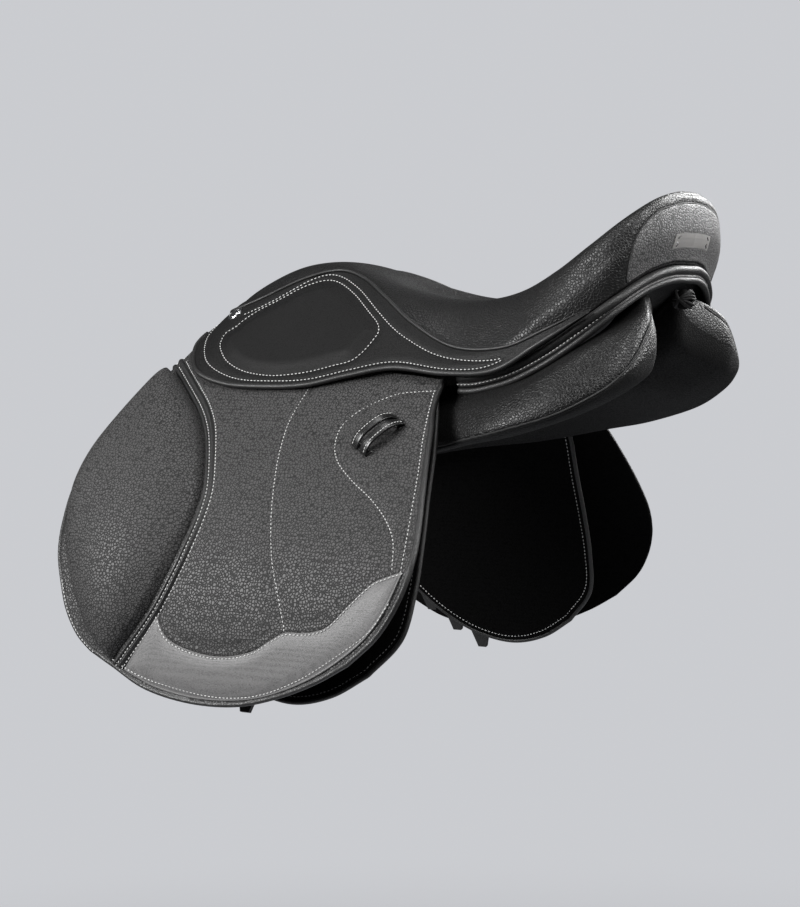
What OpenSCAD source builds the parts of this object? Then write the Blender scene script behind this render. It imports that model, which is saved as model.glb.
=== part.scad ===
// English jumping saddle on its tree: seat, skirts, flaps, knee blocks, sweat flaps,
// wool panels, girth straps and stirrup bars.
// Millimetres. +X points to the cantle, -Y is the near (left) side, +Z is up.
// The origin lies on the centre plane, on the line of the horse's spine.

/* [Leather] */
// Thickness of seat and skirt leather
skin_t = 3; // [2:0.5:3.5]
// Thickness of a flap, measured across the saddle
flap_t = 5; // [4:0.5:6]
// Thickness of the sweat flap, measured across the saddle
sweat_t = 3; // [2:0.5:4]
// Depth of the knee block at its fullest
knee_block_t = 26; // [16:1:32]
// Diameter of the piped rolls under the seat
roll_d = 8; // [6:0.5:9]

/* [Girth straps] */
// Width of a girth strap
strap_w = 22; // [18:1:23]
// Thickness of a girth strap
strap_t = 4; // [3:0.5:4.5]
// Distance between neighbouring straps
strap_pitch = 26; // [25:1:28]
// Diameter of a buckle hole
strap_hole_d = 5; // [4:0.5:6]
// Distance between buckle holes
strap_hole_pitch = 22; // [18:1:25]
// Number of buckle holes in each strap
strap_holes = 6; // [4:1:7]

/* [Steelwork] */
// Diameter of the stirrup bar
bar_d = 9; // [7:0.5:10]
// Length of the stirrup bar
bar_len = 72; // [60:1:80]
// Thickness of the head plate
plate_t = 3; // [2:0.5:4]
// Diameter of the domed pommel stud
stud_d = 15; // [12:1:18]
// Width of the cantle badge
badge_w = 70; // [50:2:76]
// Height of the cantle badge
badge_h = 11.5; // [9:0.5:14]

/* [Hidden] */
$fn = 48;

grain = [0.12, 0.12, 0.13];
smooth_black = [0.2, 0.2, 0.21];
steel = [0.72, 0.73, 0.75];

// ---- curves and sheets ----

// smooth value of a list of evenly spaced control values at position t
function spline(list, t) =
    let (last = len(list) - 1,
         i = max(0, min(floor(t), last - 1)),
         f = t - i,
         b = list[i],
         c = list[i + 1],
         a = i > 0 ? list[i - 1] : 2 * b - c,
         d = i + 2 <= last ? list[i + 2] : 2 * c - b)
    b + 0.5 * f * ((c - a) + f * ((2 * a - 5 * b + 4 * c - d) + f * (3 * (b - c) + d - a)));
// the same list read from 0 at its start to 1 at its end
function along(list, s) = spline(list, s * (len(list) - 1));
function mix(a, b, s) = a + (b - a) * s;
function ease(s) = let (c = max(0, min(1, s))) c * c * (3 - 2 * c);
function flip(p) = [p[0], -p[1], p[2]];

// a point inside four edge curves: u runs along top and bottom, v along left and right
function patch(top, bottom, left, right, u, v) =
    mix(along(top, u), along(bottom, u), v) + mix(along(left, v), along(right, v), u)
    - mix(mix(top[0], top[len(top) - 1], u), mix(bottom[0], bottom[len(bottom) - 1], u), v);

function volume(points, faces) =
    [for (f = faces) points[f[0]] * cross(points[f[1]] - points[f[0]], points[f[2]] - points[f[0]])]
    * [for (f = faces) 1];
function turned(f) = [for (i = [len(f) - 1:-1:0]) f[i]];

// closed solid with the triangles given, whichever way they face
module shell(points, faces) {
    polyhedron(points, volume(points, faces) > 0 ? [for (f = faces) turned(f)] : faces);
}

// closed sheet between two grids of points; with fold, the last row closes on itself
module slab(outer, inner, fold = false) {
    rows = len(outer);
    cols = len(outer[0]);
    function id(side, r, c) =
        side * rows * cols + r * cols + (fold && r == rows - 1 ? min(c, cols - 1 - c) : c);
    points = [for (side = [outer, inner], row = side) each row];
    skin = [for (r = [0:rows - 2], c = [0:cols - 2])
        each [[0, r, c, r + 1, c, r + 1, c + 1], [0, r, c, r + 1, c + 1, r, c + 1]]];
    front = [for (k = skin) [id(0, k[1], k[2]), id(0, k[3], k[4]), id(0, k[5], k[6])]];
    back = [for (k = skin) [id(1, k[5], k[6]), id(1, k[3], k[4]), id(1, k[1], k[2])]];
    ends = fold ? [0] : [0, rows - 1];
    rim_rows = [for (r = ends, c = [0:cols - 2])
        let (a = r == 0 ? c : c + 1, b = r == 0 ? c + 1 : c)
        each [[id(0, r, a), id(0, r, b), id(1, r, b)], [id(0, r, a), id(1, r, b), id(1, r, a)]]];
    rim_cols = [for (c = [0, cols - 1], r = [0:rows - 2])
        let (a = c == 0 ? r + 1 : r, b = c == 0 ? r : r + 1)
        each [[id(0, a, c), id(0, b, c), id(1, b, c)], [id(0, a, c), id(1, b, c), id(1, a, c)]]];
    proper = [for (f = concat(front, back, rim_rows, rim_cols))
        if (f[0] != f[1] && f[1] != f[2] && f[2] != f[0]) f];
    shell(points, proper);
}

// closed solid through rings of points
module loft(rings) {
    n = len(rings[0]);
    last = len(rings) - 1;
    points = concat([for (ring = rings) each ring], [centre(rings[0]), centre(rings[last])]);
    side = [for (r = [0:last - 1], c = [0:n - 1])
        let (d = (c + 1) % n)
        each [[r * n + c, (r + 1) * n + c, (r + 1) * n + d], [r * n + c, (r + 1) * n + d, r * n + d]]];
    caps = [for (c = [0:n - 1])
        let (d = (c + 1) % n, hub = len(rings) * n)
        each [[hub, c, d], [hub + 1, last * n + d, last * n + c]]];
    shell(points, concat(side, caps));
}
function centre(ring) = [for (p = ring) 1] * ring / len(ring);

// round rod along a path of points
module rod(path, r, sides = 10) {
    last = len(path) - 1;
    loft([for (i = [0:last])
        let (dir = path[min(i + 1, last)] - path[max(i - 1, 0)],
             t = dir / norm(dir),
             side = cross(t, [0, 0, 1]) / norm(cross(t, [0, 0, 1])),
             up = cross(side, t))
        [for (k = [0:sides - 1])
            path[i] + r * (cos(360 * k / sides) * side + sin(360 * k / sides) * up)]]);
}

module both_ways(left) {
    if (left) children();
    else mirror([0, 1, 0]) children();
}

// ---- the seat's form ----
// Each row runs from the centre line over the shoulder and the skirt seam to the lower edge.
seat_rows = [
    [[-232, 0, 86], [-231, -20, 84], [-228, -38, 80], [-224, -46, 72]],
    [[-225, 0, 104], [-223, -26, 101], [-219, -48, 92], [-215, -54, 80]],
    [[-196, 0, 122], [-194, -28, 118], [-190, -51, 107], [-188, -57, 94]],
    [[-160, 0, 134], [-158, -27, 131], [-155, -47, 119], [-154, -54, 107]],
    [[-120, 0, 136], [-118, -26, 134], [-115, -41, 127], [-114, -50, 114]],
    [[-80, 0, 125], [-80, -32, 125], [-80, -50, 120], [-80, -60, 106]],
    [[-40, 0, 110], [-42, -44, 112], [-44, -70, 103], [-44, -80, 88]],
    [[0, 0, 100], [0, -54, 102], [-4, -91, 80], [-2, -98, 64]],
    [[45, 0, 97], [45, -64, 99], [45, -106, 61], [46, -112, 42]],
    [[85, 0, 100], [88, -74, 107], [90, -113, 66], [90, -115, 47]],
    [[118, 0, 109], [128, -84, 125], [130, -114, 92], [128, -114, 63]],
    [[145, 0, 122], [164, -92, 147], [168, -110, 118], [164, -110, 86]],
    [[165, 0, 138], [191, -84, 167], [196, -99, 140], [187, -97, 105]],
    [[179, 0, 153], [204, -57, 182], [210, -66, 154], [200, -64, 122]],
    [[188, 0, 165], [209, -25, 189], [215, -28, 159], [207, -31, 130]],
    [[191, 0, 168], [210, 0, 190], [216, 0, 160], [209, 0, 131]]];
last_row = len(seat_rows) - 1;
first_wide_row = 8;

// point on the seat, sunk below its surface towards the middle of the tree
function seat_point(i, u, depth = 0) =
    let (p = spline([for (row = seat_rows) spline(row, u)], i),
         q = [max(-190, min(140, p[0])), 0, 50])
    p + (q - p) * depth / norm(q - p);
// a grid across both sides, for rows i0..i1 and from -u_side to u_side
function seat_grid(i0, i1, steps, u_side, cols, depth) =
    [for (k = [0:steps])
        let (i = mix(i0, i1, k / steps))
        [for (c = [-cols:cols])
            let (p = seat_point(i, u_side * abs(c) / cols, depth))
            c <= 0 ? p : flip(p)]];
// a band round the back of the tree, between two distances from the centre line
function seat_band(i0, i1, steps, u0, u1, depth, cols = 3) =
    [for (k = [-steps:steps])
        let (i = mix(i1, i0, abs(k) / steps))
        [for (c = [0:cols])
            let (p = seat_point(i, mix(u0, u1, c / cols), depth))
            k <= 0 ? p : flip(p)]];

module seat_cover() {
    color(grain)
        slab(seat_grid(0, last_row, 30, 3, 7, 0), seat_grid(0, last_row, 30, 3, 7, skin_t), fold = true);
}

foam_top = skin_t + 1.2;
foam_bottom = 16;
module seat_foam() {
    color([0.85, 0.8, 0.6])
        slab(seat_grid(1.7, last_row, 26, 2.5, 6, foam_top),
            seat_grid(1.7, last_row, 26, 2.5, 6, foam_bottom), fold = true);
}

web_top = foam_bottom + 1;
web_t = 1.8;
module seat_web() {
    color([0.75, 0.7, 0.55])
        slab(seat_grid(1.8, 13, 20, 0.45, 1, web_top), seat_grid(1.8, 13, 20, 0.45, 1, web_top + web_t));
}

tree_top = web_top + web_t + 1;
tree_bottom = tree_top + 7;
module cross_webs() {
    depth = tree_bottom + 1.4;
    color([0.75, 0.7, 0.55])
        for (i = [6.1, 7.2])
            slab(seat_grid(i, i + 0.6, 2, 1.5, 4, depth), seat_grid(i, i + 0.6, 2, 1.5, 4, depth + web_t));
}

// inner and outer outline of the head arch, from the crown down one point
arch_outer = [[0, 98], [28, 91], [46, 74], [62, 48], [80, 20], [88, 4]];
arch_inner = [[80, 4], [72, 20], [54, 46], [38, 68], [22, 82], [0, 88]];
module arch(inner_cut = 0) {
    outline = concat(arch_outer, arch_inner);
    polygon(concat(outline, [for (i = [len(outline) - 1:-1:0]) [-outline[i][0], outline[i][1]]]));
}
module across(x, length) {
    translate([x, 0, 0]) rotate([90, 0, 90]) linear_extrude(length) children();
}

lug_x = -150;
lug_len = 75;
lug_y = 66;
lug_outline = [[18, 100], [30, 98], [44, 92], [lug_y, 78], [lug_y, 48], [56, 48], [18, 88]];
module tree_frame() {
    color([0.76, 0.6, 0.4]) union() {
        slab(seat_band(1.2, last_row, 22, 0.55, 1.75, tree_top),
            seat_band(1.2, last_row, 22, 0.55, 1.75, tree_bottom));
        across(-212, 24) arch();
        for (side = [-1, 1])
            across(lug_x, lug_len)
                polygon([for (p = lug_outline) [side * p[0], p[1]]]);
    }
}

module head_plate() {
    color(steel) across(-212 - plate_t, plate_t) intersection() {
        arch();
        translate([-70, 40]) square([140, 60]);
    }
}

module cantle_plate() {
    depth = tree_bottom + 2;
    color(steel)
        slab(seat_band(11.5, last_row, 8, 1.0, 1.5, depth, 1),
            seat_band(11.5, last_row, 8, 1.0, 1.5, depth + 2, 1));
}

// leather on the back of the cantle, outside the seat cover
module cantle_panel() {
    color(grain)
        slab(seat_band(11.3, last_row, 14, 1.45, 2.9, -2.8, 4),
            seat_band(11.3, last_row, 14, 1.45, 2.9, -0.7, 4));
}

// the rolls follow the seat's lower edge round the back
function roll_path(drop, out) = [for (k = [-26:26])
    let (i = mix(last_row, first_wide_row + 0.1, abs(k) / 26),
         p = seat_point(i, 3, -out) - [0, 0, drop])
    k <= 0 ? p : flip(p)];
module seat_roll() {
    color(grain) rod(roll_path(roll_d / 2 + 2.4, 1.8), roll_d / 2);
}
panel_roll_d = 5;
module panel_roll() {
    color(grain) rod(roll_path(roll_d + panel_roll_d / 2 + 3.6, 0.6), panel_roll_d / 2, 8);
}

// closes the seat from below, between the panels
module channel_lining() {
    function row(i, lift) =
        let (edge = seat_point(i, 2.8, skin_t + 4),
             mid = [edge[0] - 14 * ease((i - 11) / 4), 0, edge[2] + 4])
        [for (c = [-5:5]) let (p = mix(mid, edge, abs(c) / 5) + [0, 0, lift]) c <= 0 ? p : flip(p)];
    rows = [for (k = [0:16]) mix(7.4, 14.6, k / 16)];
    color(grain)
        slab([for (i = rows) row(i, 0)], [for (i = rows) row(i, -2)]);
}

module lacing_knot() {
    color(smooth_black) translate([198, 0, 106]) rotate([0, 90, 0])
        rotate_extrude() polygon(concat([[0, 0]], [for (a = [0:10:90]) [10 * cos(a), 12 * sin(a)]]));
}

// the badge is a thin plate bent round the cantle, with a pin at each end
badge_t = 1.5;
badge_back = -2.9;
badge_mid = 2.42;
badge_reach = badge_h / 56;
badge_row = last_row - badge_w / 58;
module cantle_badge() {
    function face(depth) =
        seat_band(badge_row, last_row, 8, badge_mid - badge_reach, badge_mid + badge_reach, depth);
    color(steel) slab(face(badge_back - badge_t), face(badge_back));
}
pin_row = badge_row + 0.15;
pin_r = 1;
module badge_pins() {
    color(steel) for (left = [true, false]) both_ways(left)
        rod([for (depth = [skin_t - 0.6, badge_back - badge_t / 3]) seat_point(pin_row, badge_mid, depth)], pin_r);
}

stud_at = [-213, -56.5, 87];
module pommel_studs() {
    color(steel) for (left = [true, false]) both_ways(left)
        translate(stud_at) rotate([55, 0, -12]) rotate_extrude()
            polygon(concat([[0, -8], [1.2, -8], [1.2, 0]],
                [for (a = [0:15:90]) [stud_d / 2 * cos(a), 3.5 * sin(a)]]));
}

// ---- how far each leather layer stands from the centre plane ----
drape_step = 40;
drape_top = 80;
drape_y = [60, 112, 155, 190, 218, 241, 255, 261, 263, 263];
function drape(z) = spline(drape_y, (drape_top - z) / drape_step);

strap_tilt = 18.5;
strap_pivot = [0, -131, 5];
function strap_plane(z) = -strap_pivot[1] + tan(strap_tilt) * (strap_pivot[2] - z);
web_gap = 3;
girth_web_t = 3;
sweat_gap = 8;
// outer face of the sweat flap, flat behind the straps
function sweat_y(z) = min(strap_plane(z) - sweat_gap, drape(z) - flap_t - 7.5);

function hang(outline_grid, depth) =
    [for (row = outline_grid) [for (p = row) [p[0], -(drape(p[1]) + depth), p[1]]]];
function patch_grid(top, bottom, left, right, cols, rows) =
    [for (v = [0:rows]) [for (u = [0:cols]) patch(top, bottom, left, right, u / cols, v / rows)]];

// ---- flap ----
hinge_z = 20;
bend_gap = 0.5;
flap_front = [[-256, 19.5], [-270, -8], [-283, -38], [-288, -66], [-283, -94], [-276, -119],
    [-265, -144], [-252, -170], [-237, -194]];
flap_rear = [[42, 19.5], [50, -2], [58, -25], [65, -50], [71, -75], [77, -100], [78, -124],
    [68, -148], [52, -172], [28, -194]];
flap_foot = [[-237, -194], [-205, -213], [-171, -229], [-126, -237], [-80, -236], [-39, -226],
    [-2, -211], [28, -194]];
flap_grid = patch_grid([flap_front[0], flap_rear[0]], flap_foot, flap_front, flap_rear, 14, 14);
module flap(left) {
    color(grain) both_ways(left) slab(hang(flap_grid, 0), hang(flap_grid, -flap_t));
}

// the part of the flap that is nailed to the tree, above the bend
top_grid = patch_grid(
    [[-244, 45], [-205, 42], [-150, 41], [-90, 41], [-40, 40], [0, 36], [41, 33]],
    [[-256, hinge_z + bend_gap], [41.5, hinge_z + bend_gap]],
    [[-244, 45], [-251, 33], [-256, hinge_z + bend_gap]],
    [[41, 33], [41.5, hinge_z + bend_gap]], 14, 4);
module flap_top(left) {
    color(grain) both_ways(left) slab(hang(top_grid, 0), hang(top_grid, -flap_t));
}

// ---- knee block ----
block_rear = [[-222, 17.5], [-193, 1], [-172, -20], [-156, -45], [-148, -72], [-149, -103],
    [-157, -134], [-172, -167], [-205, -206]];
block_front = [for (p = flap_front) p + [3, -2]];
block_grid = patch_grid([block_front[0], block_rear[0]], [[-234, -196], [-205, -206]],
    block_front, block_rear, 10, 14);
function block_depth(u, v) = 5 + (knee_block_t - 5) * pow(sin(180 * u), 0.55) * pow(sin(180 * v), 0.5);
block_face = [for (v = [0:14]) [for (u = [0:10])
    let (p = block_grid[v][u])
    [p[0], -(drape(p[1]) + block_depth(u / 10, v / 14)), p[1]]]];
module knee_block(left) {
    color(grain) both_ways(left) slab(block_face, hang(block_grid, 0.4));
}

// ---- smooth patch over the foot of the flap ----
patch_seam = [[-160, -168], [-150, -183], [-126, -192], [-95, -195], [-65, -189], [-33, -171],
    [-4, -168], [12, -158], [30, -138], [48, -124], [64, -116]];
patch_foot = [[-196, -209], [-160, -221], [-120, -228], [-79, -228], [-47, -222], [-16, -208],
    [13, -190], [42, -168], [58, -145], [65, -121]];
toe_grid = patch_grid(patch_seam, patch_foot, [patch_seam[0], patch_foot[0]],
    [patch_seam[len(patch_seam) - 1], patch_foot[len(patch_foot) - 1]], 14, 4);
module toe_patch(left) {
    color(smooth_black) both_ways(left) slab(hang(toe_grid, 1.8), hang(toe_grid, 0.4));
}

// ---- keeper for the stirrup leather, a bridge of leather on the flap ----
keeper_at = [4, -14];
keeper_len = 45;
keeper_w = 22;
keeper_rise = 8;
keeper_t = 3;
keeper_foot = 6;
keeper_slope = 42;
keeper_turn = 56;
module stirrup_keeper(left) {
    color(smooth_black) both_ways(left)
        translate([keeper_at[0], -drape(keeper_at[1]) - 0.6, keeper_at[1]])
            rotate([-keeper_slope, 0, 0]) rotate([90, 0, 0]) rotate([0, 0, keeper_turn])
                difference() {
                    translate([-keeper_len / 2, -keeper_w / 2, 0])
                        cube([keeper_len, keeper_w, keeper_rise + keeper_t]);
                    translate([-keeper_len / 2 + keeper_foot, -keeper_w, -1])
                        cube([keeper_len - 2 * keeper_foot, 2 * keeper_w, keeper_rise + 1]);
                }
}

// ---- sweat flap ----
sweat_grid = patch_grid(
    [[-244, 19], [-205, 36], [-150, 42], [-90, 42], [-40, 41], [0, 36], [30, 28]],
    [[-182, -166], [-160, -190], [-132, -214], [-98, -232], [-60, -239], [-24, -231], [8, -212]],
    [[-244, 19], [-258, -20], [-256, -60], [-242, -98], [-217, -134], [-182, -166]],
    [[30, 28], [34, 0], [37, -30], [38, -65], [40, -105], [40, -145], [34, -182], [8, -212]], 14, 14);
module sweat_flap(left) {
    color(smooth_black) both_ways(left)
        slab([for (row = sweat_grid) [for (p = row) [p[0], -sweat_y(p[1]), p[1]]]],
             [for (row = sweat_grid) [for (p = row) [p[0], -sweat_y(p[1]) + sweat_t, p[1]]]]);
}

// ---- skirt, in two lengths that meet along a straight bend ----
skirt_seam = [[-228, -42, 86], [-212, -54, 97], [-180, -56, 110], [-145, -52, 121], [-110, -47, 127],
    [-78, -56, 120], [-44, -76, 103], [-4, -97, 80], [45, -113, 60], [95, -120, 60], [135, -121, 75],
    [172, -117, 93]];
skirt_edge = [[-234, -54, 80], [-236, -90, 60], [-214, -123, 38], [-178, -133, 27], [-136, -136, 25],
    [-92, -134, 27], [-50, -128, 36], [-8, -123, 43], [45, -128, 39], [90, -126, 42], [130, -124, 64],
    [173, -119, 90]];
bend_front = [-236, -72, 72];
bend_rear = [64, -122, 52];
skirt_in = [0, 0.75, -0.65];
skirt_last = len(skirt_seam) - 1;
bend_clear = [0, 0.9, 1.4];
lift_from = 0.9;
lift_to = 8.2;
function bend_point(x) = mix(bend_front, bend_rear, (x - bend_front[0]) / (bend_rear[0] - bend_front[0]));
function skirt_split(t) =
    let (a = spline(skirt_seam, t), b = spline(skirt_edge, t)) bend_point(mix(a[0], b[0], 0.6));
module skirt_top(left) {
    function foot(t) = t < lift_from || t > lift_to ? spline(skirt_edge, t) : skirt_split(t) + bend_clear;
    front = [for (k = [0:3]) lift_from * k / 3.001];
    middle = [for (k = [0:20]) mix(lift_from, lift_to, k / 20)];
    rear = [for (k = [0:8]) mix(lift_to + 0.01, skirt_last, k / 8)];
    ts = concat(front, middle, rear);
    outer = [for (t = ts) [for (v = [0:4]) mix(spline(skirt_seam, t), foot(t), v / 4)]];
    color(grain) both_ways(left)
        slab(outer, [for (row = outer) [for (p = row) p + skin_t * skirt_in]]);
}
module skirt(left) {
    outer = [for (k = [0:20]) let (t = mix(lift_from + 0.05, lift_to - 0.05, k / 20))
        [for (v = [0:4]) mix(skirt_split(t), spline(skirt_edge, t), v / 4)]];
    color(grain) both_ways(left)
        slab(outer, [for (row = outer) [for (p = row) p + skin_t * skirt_in]]);
}

// ---- wool panel: stations from front to back, each a ring of eight points in Y and Z ----
panel_x = [-206, -170, -110, -50, 20, 74, 114, 160, 192, 208, 218];
panel_rings = [
    [[-44, 50], [-50, 42], [-63, 18], [-80, -16], [-94, -46], [-84, -44], [-62, -6], [-46, 34]],
    [[-40, 50], [-52, 42], [-74, 26], [-96, -12], [-108, -52], [-92, -50], [-66, -10], [-44, 28]],
    [[-34, 48], [-56, 40], [-82, 26], [-110, -6], [-118, -46], [-98, -44], [-62, -10], [-36, 20]],
    [[-32, 48], [-58, 42], [-88, 30], [-110, 2], [-118, -36], [-96, -36], [-62, -8], [-34, 16]],
    [[-32, 46], [-62, 43], [-90, 34], [-113, 6], [-119, -28], [-98, -28], [-62, -4], [-34, 16]],
    [[-32, 40], [-66, 38], [-98, 32], [-134, 12], [-150, -17], [-118, -18], [-70, -2], [-34, 18]],
    [[-32, 46], [-68, 44], [-106, 38], [-144, 22], [-160, -8], [-124, -11], [-74, 3], [-34, 22]],
    [[-32, 72], [-66, 72], [-102, 64], [-138, 46], [-155, 6], [-118, 4], [-72, 14], [-34, 32]],
    [[-32, 94], [-56, 96], [-84, 86], [-118, 66], [-140, 24], [-106, 20], [-68, 32], [-34, 52]],
    [[-32, 102], [-48, 104], [-70, 96], [-104, 74], [-126, 38], [-100, 32], [-66, 42], [-34, 62]],
    [[-38, 84], [-50, 88], [-68, 84], [-92, 70], [-108, 50], [-86, 44], [-64, 50], [-42, 64]]];
// the back end curves forward towards the channel
function end_lag(x, y) = 20 * ease((88 + y) / 52) * ease((x - 140) / 60);
module panel(left) {
    rings = [for (k = [0:30]) let (s = k / 30 * (len(panel_x) - 1), x = spline(panel_x, s),
        ring = spline(panel_rings, s))
        [for (a = [0:15]) let (wrap = concat([ring[7]], ring, [ring[0], ring[1]]),
            p = spline(wrap, 1 + a / 2)) [x - end_lag(x, p[0]), p[0], p[1]]]];
    color(smooth_black) both_ways(left) loft(rings);
}

// ---- girth straps, hung on rivets, in the plane of the straps ----
rivet_d = 6;
pin_clearance = 0.05;
strap_lengths = [230, 251, 268];
strap_hole_from = 34;
strap_x = [for (k = [-1:1]) -126 + k * strap_pitch];
module on_strap_plane(x, left) {
    both_ways(left) translate([x, strap_pivot[1], strap_pivot[2]]) rotate([-strap_tilt, 0, 0])
        rotate([90, 0, 0]) children();
}
module girth_strap(index, left) {
    length = strap_lengths[index];
    color(grain) on_strap_plane(strap_x[index], left)
        translate([0, 0, -strap_t / 2]) difference() {
            linear_extrude(strap_t) {
                translate([-strap_w / 2, -length + strap_w]) square([strap_w, length - strap_w]);
                circle(d = strap_w);
                translate([0, -length + strap_w]) polygon([[-strap_w / 2, 0], [-strap_w / 5, -strap_w],
                    [strap_w / 5, -strap_w], [strap_w / 2, 0]]);
            }
            translate([0, 0, -1]) cylinder(d = rivet_d + 2 * pin_clearance, h = strap_t + 2);
            for (k = [0:strap_holes - 1])
                translate([0, -length + strap_hole_from + k * strap_hole_pitch, -1])
                    cylinder(d = strap_hole_d, h = strap_t + 2);
        }
}
module strap_rivets() {
    color(steel) for (left = [true, false], x = strap_x) on_strap_plane(x, left) {
        translate([0, 0, -web_gap - girth_web_t])
            cylinder(d = rivet_d, h = web_gap + girth_web_t + strap_t / 2 + 0.4);
        translate([0, 0, strap_t / 2 + 0.3]) cylinder(d = 2 * rivet_d, h = 1.8);
    }
}
// webbing that carries the straps: out from the tree under the stirrup bar, then down
web_x = [-170, -82];
function web_y(z) = min(drape(z) - flap_t - 1, strap_plane(z) - web_gap);
web_fall = [for (z = [44:-4:12]) [web_y(z), z]];
module girth_web(left) {
    line = concat([[lug_y + 0.5, 46.5], [90, 46.5]], web_fall);
    outer = [for (p = line) [for (x = web_x) [x, -p[0], p[1]]]];
    inner = [for (k = [0:len(line) - 1])
        [for (p = outer[k]) p + (k < 2 ? [0, 0, -girth_web_t] : [0, girth_web_t, 0])]];
    color([0.75, 0.7, 0.55]) both_ways(left) difference() {
        union() {
            slab(outer, inner);
            translate(strap_pivot) rotate([-strap_tilt, 0, 0])
                translate([web_x[0], web_gap, -18]) cube([web_x[1] - web_x[0], girth_web_t, 28]);
        }
        for (x = strap_x) translate(strap_pivot) rotate([90 - strap_tilt, 0, 0])
            translate([x, 0, -20]) cylinder(d = rivet_d, h = 30);
    }
}

guard_drop = 74;
guard_h = 66;
guard_slack = 0.7;
guard_wall = 1.4;
module buckle_guard(left) {
    width = 2 * strap_pitch + strap_w + 14;
    thick = strap_t + 2 * (guard_slack + guard_wall);
    color(smooth_black) on_strap_plane(strap_x[1], left) translate([0, -guard_drop, 0]) difference() {
        translate([-width / 2, -guard_h, -thick / 2]) cube([width, guard_h, thick]);
        for (k = [-1:1])
            translate([k * strap_pitch - strap_w / 2 - 1.2, -guard_h - 1, -strap_t / 2 - guard_slack])
                cube([strap_w + 2.4, guard_h + 2, strap_t + 2 * guard_slack]);
    }
}

// ---- stirrup bar: plate on the tree, bar standing out from it, catch at the open end ----
bar_y = -82;
bar_z = 57;
bar_x = -140;
module stirrup_bar(left) {
    color(steel) both_ways(left) difference() {
        union() {
            translate([bar_x - 4, -lug_y - plate_t, 50]) cube([bar_len + 14, plate_t, 24]);
            translate([bar_x - 4, bar_y, bar_z - bar_d / 2]) cube([bar_d, -bar_y - lug_y, bar_d]);
            translate([bar_x, bar_y, bar_z]) rotate([0, 90, 0]) cylinder(d = bar_d, h = bar_len);
            // ears that hold the catch
            for (z = [bar_z - 7, bar_z + 5])
                translate([catch_pin[0] - 4.5, -lug_y - plate_t - 9, z]) cube([9, 10, 2]);
        }
        for (x = bar_rivet_x) translate([x, -lug_y + 1, 68]) rotate([90, 0, 0]) cylinder(d = 5, h = 6);
        translate([catch_pin[0], catch_pin[1], bar_z - 10]) cylinder(d = catch_pin_d, h = 20);
    }
}
bar_rivet_x = [bar_x + 12, bar_x + 54];
catch_pin = [bar_x + bar_len + 5, -lug_y - plate_t - 5];
catch_pin_d = 2;
module bar_rivets() {
    color(steel) for (left = [true, false]) both_ways(left) {
        for (x = bar_rivet_x) translate([x, 0, 68]) rotate([90, 0, 0]) {
            translate([0, 0, lug_y]) cylinder(d = 5, h = plate_t + 0.4);
            translate([0, 0, lug_y + plate_t + 0.2]) cylinder(d = 9, h = 1.6);
        }
        translate([catch_pin[0], catch_pin[1], bar_z - 7]) cylinder(d = catch_pin_d, h = 14);
    }
}
module bar_catch(left) {
    color(steel) both_ways(left) translate([catch_pin[0], catch_pin[1], bar_z]) difference() {
        union() {
            translate([0, 0, -4.6]) cylinder(d = 6, h = 9.2);
            translate([0, -2, -4.6]) cube([17, 4, 9.2]);
        }
        translate([0, 0, -6]) cylinder(d = catch_pin_d + 2 * pin_clearance, h = 12);
    }
}

// ---- breastplate dees on the front of the pommel ----
dee_at = [-221, -58, 50];
dee_r = 14;
dee_wire = 3.6;
dee_loop_d = 8;
module dee_ring(left) {
    color(steel) both_ways(left) translate(dee_at) {
        rotate([0, 90, 0]) rotate([0, 0, -90])
            rotate_extrude(angle = 180) translate([dee_r, 0]) circle(d = dee_wire);
        translate([0, -dee_r - dee_wire / 2, 0]) rotate([-90, 0, 0])
            cylinder(d = dee_wire, h = 2 * dee_r + dee_wire);
    }
}
module dee_chape(left) {
    color(smooth_black) both_ways(left) translate(dee_at) difference() {
        union() {
            rotate([-90, 0, 0]) translate([0, 0, -8]) cylinder(d = dee_loop_d, h = 16);
            translate([3.4, -8, -4]) cube([2.6, 16, 18]);
        }
        rotate([-90, 0, 0]) translate([0, 0, -12]) cylinder(d = dee_wire + 2 * pin_clearance, h = 24);
    }
}

tree_frame();
head_plate();
cantle_plate();
seat_web();
cross_webs();
seat_foam();
seat_cover();
cantle_panel();
seat_roll();
panel_roll();
channel_lining();
lacing_knot();
cantle_badge();
badge_pins();
pommel_studs();
bar_rivets();
strap_rivets();
stirrup_bar(true);  // stirrup_bar_left
stirrup_bar(false);  // stirrup_bar_right
bar_catch(true);  // bar_catch_left
bar_catch(false);  // bar_catch_right
dee_chape(true);  // dee_chape_left
dee_chape(false);  // dee_chape_right
dee_ring(true);  // dee_ring_left
dee_ring(false);  // dee_ring_right
skirt_top(true);  // skirt_top_left
skirt_top(false);  // skirt_top_right
skirt(true);  // skirt_left
skirt(false);  // skirt_right
flap_top(true);  // flap_top_left
flap_top(false);  // flap_top_right
flap(true);  // flap_left
flap(false);  // flap_right
knee_block(true);  // knee_block_left
knee_block(false);  // knee_block_right
toe_patch(true);  // toe_patch_left
toe_patch(false);  // toe_patch_right
stirrup_keeper(true);  // stirrup_keeper_left
stirrup_keeper(false);  // stirrup_keeper_right
sweat_flap(true);  // sweat_flap_left
sweat_flap(false);  // sweat_flap_right
panel(true);  // panel_left
panel(false);  // panel_right
girth_web(true);  // girth_web_left
girth_web(false);  // girth_web_right
girth_strap(0, true);  // girth_strap_front_left
girth_strap(1, true);  // girth_strap_middle_left
girth_strap(2, true);  // girth_strap_rear_left
girth_strap(0, false);  // girth_strap_front_right
girth_strap(1, false);  // girth_strap_middle_right
girth_strap(2, false);  // girth_strap_rear_right
buckle_guard(true);  // buckle_guard_left
buckle_guard(false);  // buckle_guard_right
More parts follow.
